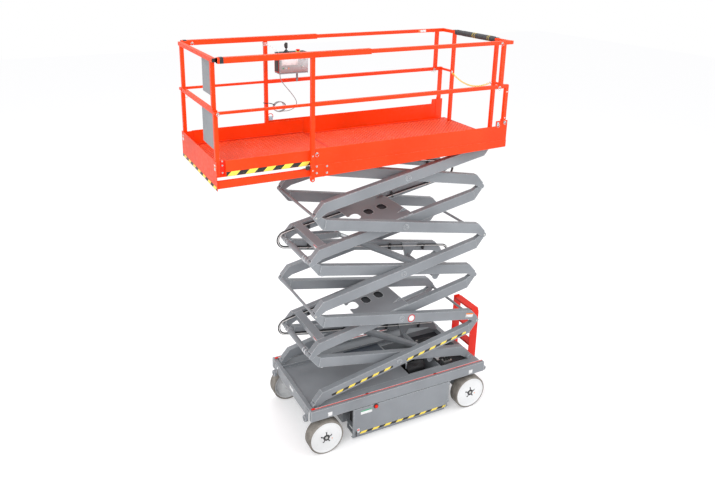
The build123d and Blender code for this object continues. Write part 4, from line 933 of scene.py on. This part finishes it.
# chain across the entry
def link_matrix(start, end, roll):
    """The place of one link between two points of the chain, rolled about its length."""
    along = (end - start).normalized()
    side = along.cross(Vector((0, 0, 1))).normalized()
    turn = Matrix((along, side, side.cross(along))).transposed().to_4x4()
    return Matrix.Translation((start + end) / 2) @ turn @ Matrix.Rotation(roll, 4, "X")


bpy.ops.mesh.primitive_torus_add(major_radius=0.0085, minor_radius=0.0022, major_segments=16,
                                 minor_segments=6)
link = bpy.context.object
for corner in link.data.vertices:
    corner.co.x += 0.0075 if corner.co.x > 0 else -0.0075
bpy.ops.object.shade_smooth()
link.data.materials.append(MATERIALS["yellow"])
CHAIN_X = BAR_X - 0.026
CHAIN_LINKS = 32
ways = [2 * k / CHAIN_LINKS - 1 for k in range(CHAIN_LINKS + 1)]
ends = [on_deck(CHAIN_X, t * 0.335, 0.600 + 0.085 * t * t) for t in ways]
spread("entry_chain", link, [link_matrix(a, b, 0.35 + math.pi / 2 * (k % 2))
                             for k, (a, b) in enumerate(zip(ends, ends[1:]))], "platform")
for name, sign in (("near", -1), ("far", 1)):
    eye = on_deck(CHAIN_X, sign * 0.345, 0.688)
    rod(f"{name}_chain_eye_bolt", eye + Vector((0.006, sign * 0.004, 0)),
        eye + Vector((0.010, sign * 0.016, 0)), 0.005, "zinc", "platform", 12)
    hoop(f"{name}_chain_eye", eye, (1, 0, 0.2), 0.011, 0.0026, "steel", "platform")
    tube_cap(f"{name}_entry_post_cap", on_deck(BAR_X, sign * 0.370, TOP + 0.018), (0, 0, 1), "platform")
    spots = [(on_deck(ENTRY + 0.036, sign * 0.370, z), (1, 0, 0)) for z in (0.150, 0.215)]
    bolts(f"{name}_entry_bolts", spots, 0.0075, "platform")
strand("chain_hook", [on_deck(CHAIN_X + back, y, z) for back, y, z in (
    (0, 0.325, 0.690), (-0.004, 0.334, 0.712), (0, 0.346, 0.708), (0.002, 0.345, 0.690))], 0.003, "steel",
       "platform")

# ------------------------------ mast: hoses, collars, signs
HOSES = (("upper_hose", 0.3060, 0.083, 0.0075, "hose"), ("lower_hose", 0.3065, 0.100, 0.0065, "hose"),
         ("pale_hose", 0.2900, 0.092, 0.0045, "white_wire"))
LOOP_TO = 100  # degrees that each arm's hose goes round a shared pin


def hose_on_arm(name, level, y, gap, radius, look):
    """A hose along one inner arm, curled round the shared pins at both ends."""
    half = STACK / 2
    if level > 1:
        turns = [math.radians(90 + a) for a in range(LOOP_TO, -1, -12)]
        places = [(-PIN_U + gap * math.cos(a), y, -half + gap * math.sin(a)) for a in turns]
    else:
        places = [(-PIN_U + 0.10, y, -half + gap), (-PIN_U + 0.16, y, -half + gap)]
    places += [(-PIN_U + 0.20, y, -half + gap), (-0.5, y, -half + gap - 0.012), (0.0, y, 0.0),
               (0.5, y, half - gap + 0.012), (PIN_U - 0.20, y, half - gap)]
    if level < 5:
        turns = [math.radians(-90 + a) for a in range(0, LOOP_TO + 1, 12)]
        places += [(PIN_U + gap * math.cos(a), y, half + gap * math.sin(a)) for a in turns]
    else:
        places += [(PIN_U - 0.16, y, half - gap), (PIN_U - 0.10, y, half - gap)]
    arm = on_arm(level, False)
    return strand(name, [arm @ Vector(place) for place in places], radius, look, arm_body(level, False))


for level in LEVELS:
    arm, body = on_arm(level, False), arm_body(level, False)
    for name, y, gap, radius, look in HOSES:
        hose_on_arm(f"{name}_{level}", level, y, gap, radius, look)
    for number, u in enumerate((-0.78, -0.30, 0.30, 0.78)):
        block(f"hose_clip_{level}_{number}", (u - 0.012, 0.2865, -0.034), (u + 0.012, 0.3155, 0.034),
              "black", body, 0.004, arm)
for level in (2, 4):
    arm, body = on_arm(level, False), arm_body(level, False)
    # a dark sheet under each cross plate: painted shade that shows through the plate's holes
    block(f"cross_plate_backing_{level}", (-0.245, -0.160, 0.0475), (0.075, 0.160, 0.0520), "dark_sheet",
          body, 0.001, arm)
    for number in (1, 2):
        u = 0.730 - PIN_U + 0.165 * number
        for edge, radius, z, look in (("rim", 0.050, 0.0630, "grey"), ("grommet", 0.044, 0.0560, "plastic")):
            ring = []  # two half rounds, 50 mm apart across the arms
            for k in range(12):
                a = math.radians(15 + 30 * k)
                across = math.copysign(0.025, math.sin(a)) + radius * math.sin(a)
                ring.append(arm @ Vector((u + radius * math.cos(a), across, z)))
            strand(f"hole_{edge}_{level}_{number}", ring, 0.0030, look, body, 2, True)
    for number, y in enumerate((-0.262, -0.215, 0.215, 0.262)):
        stub(f"pin_tube_collar_{level}_{number}", arm @ Vector((-PIN_U, y, -STACK / 2)), (0, 1, 0), -0.010,
             0.010, 0.0335, "steel", body, 40, 0.002)
    sign_x = 0.170 - PIN_U
    block(f"cross_box_sign_{level}", (sign_x - 0.0458, -0.300, 0.0), (sign_x - 0.0450, -0.205, 0.046),
          "label", body, 0.0003, arm)
    block(f"cross_box_sign_band_{level}", (sign_x - 0.0464, -0.300, 0.031), (sign_x - 0.0456, -0.205, 0.046),
          "red_plain", body, 0.0003, arm)

# blank round sign and label on the second outer arm
arm = on_arm(2, True)
sign_u = -((1.161 - SPAN / 2) / math.cos(TILT))
for side, sign in SIDES:
    spot = arm @ Vector((sign_u, sign * OUTER_FACE, 0))
    for part, radius, lift, look in (("ring", 0.046, 0.0008, "red_plain"), ("face", 0.035, 0.0013, "label")):
        stub(f"{side}_round_sign_{part}", spot, (0, sign, 0), 0, lift, radius, look, "outer_2", 48, 0.0002)
    for part, foot, lift, look in (("face", -0.026, 0.0008, "label"), ("head", 0.010, 0.0013, "amber")):
        sided(f"{side}_arm_label_{part}", loose, sign, (-0.990, OUTER_FACE, foot),
              (-0.885, OUTER_FACE + lift, 0.026), look, "outer_2", matrix=arm)
# wear pads under the ends of the inner arms
for level in (1, 3, 5):
    arm, body = on_arm(level, False), arm_body(level, False)
    for side, sign in SIDES:
        rod(f"{side}_arm_buffer_{level}", arm @ Vector((0.905, sign * 0.349, -0.0575)),
            arm @ Vector((0.905, sign * 0.349, -0.0735)), 0.017, "label", body, 28, 0.003)

# ------------------------------ base: service bay, pump, stop
REAR_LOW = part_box("rear_cross_beam")[0]
bay0, bay1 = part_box("belly_well")[1][0] + 0.002, REAR_LOW[0] - 0.002
bay_z = REAR_LOW[2] + 0.020


def bay(x, y, z):
    """A place in the service bay, from its front end and its tray."""
    return Vector((bay0 + x, y, bay_z + z))


block("service_bay_tray", bay(0, -0.385, 0), (bay1, 0.385, bay_z + 0.004), "dark_sheet", "base", 0.001)
for number, y in enumerate((-0.25, -0.17, -0.09, 0.05, 0.13, 0.21)):
    way = (-1) ** number
    start = bay(0.015, y, 0.060)
    end = Vector((bay1 - 0.015, y + 0.03 * way, bay_z + 0.045))
    middle = (start + end) / 2 + Vector((0, 0.02 * way, 0.030 + 0.008 * number % 0.02))
    strand(f"service_hose_{number}", [start, start.lerp(middle, 0.4) + Vector((0, 0, 0.022)), middle,
                                      middle.lerp(end, 0.6), end], 0.0085, "hose", "base")
    stub(f"service_fitting_{number}", start, (1, 0, 0), -0.012, 0.016, 0.0125, "zinc", "base", 6)
block("valve_block", bay(0.050, -0.335, 0.004), bay(0.165, -0.275, 0.075), "zinc", "base", 0.003)
for number in range(3):
    foot = bay(0.070 + 0.037 * number, -0.305, 0.074)
    stub(f"valve_coil_{number}", foot, (0, 0, 1), 0, 0.044, 0.0150, "plastic", "base", 24, 0.002)
    stub(f"valve_nut_{number}", foot, (0, 0, 1), 0.044, 0.052, 0.0080, "zinc", "base", 6)
block("bay_paper_pocket", bay(0.010, -0.235, 0.060), bay(0.085, -0.155, 0.064), "label", "base", 0.001)
# small parts on the pump
PUMP_LOW, PUMP_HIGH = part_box("pump_and_motor")
pump = Vector((PUMP_LOW[0], 0, PUMP_HIGH[2]))
for number, (x, y) in enumerate(((0.055, 0.045), (0.090, 0.075), (0.125, 0.050))):
    stub(f"pump_valve_{number}", pump + Vector((x, y, 0)), (0, 0, 1), -0.022, 0.008, 0.013, "zinc", "base",
         20, 0.002)
for number, y in enumerate((-0.02, 0.02, 0.06)):
    strand(f"pump_hose_{number}", [pump + Vector((x, y + aside, z)) for x, aside, z in (
        (0.06, 0, -0.020), (0.04, 0, 0.014), (0.16, 0.03, 0.012), (0.26, 0.02, -0.010), (0.34, 0, -0.045))],
           0.0080, "hose", "base")
# upright stop beside the opening
COVER_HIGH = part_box("base_cover")[1]
stub("upright_stop", Vector((COVER_HIGH[0] - 0.020, -0.300, BEAM_TOP)), (0, 0, 1), -0.020, 0.055, 0.010,
     "steel", "base", 24, 0.002)
# dark plate lying on the cover between the arms
block("slate_plate", at(0.780, 0.190, COVER_HIGH[2]), at(1.250, 0.410, COVER_HIGH[2] + 0.003), "slate",
      "base", 0.0012)

low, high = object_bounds()
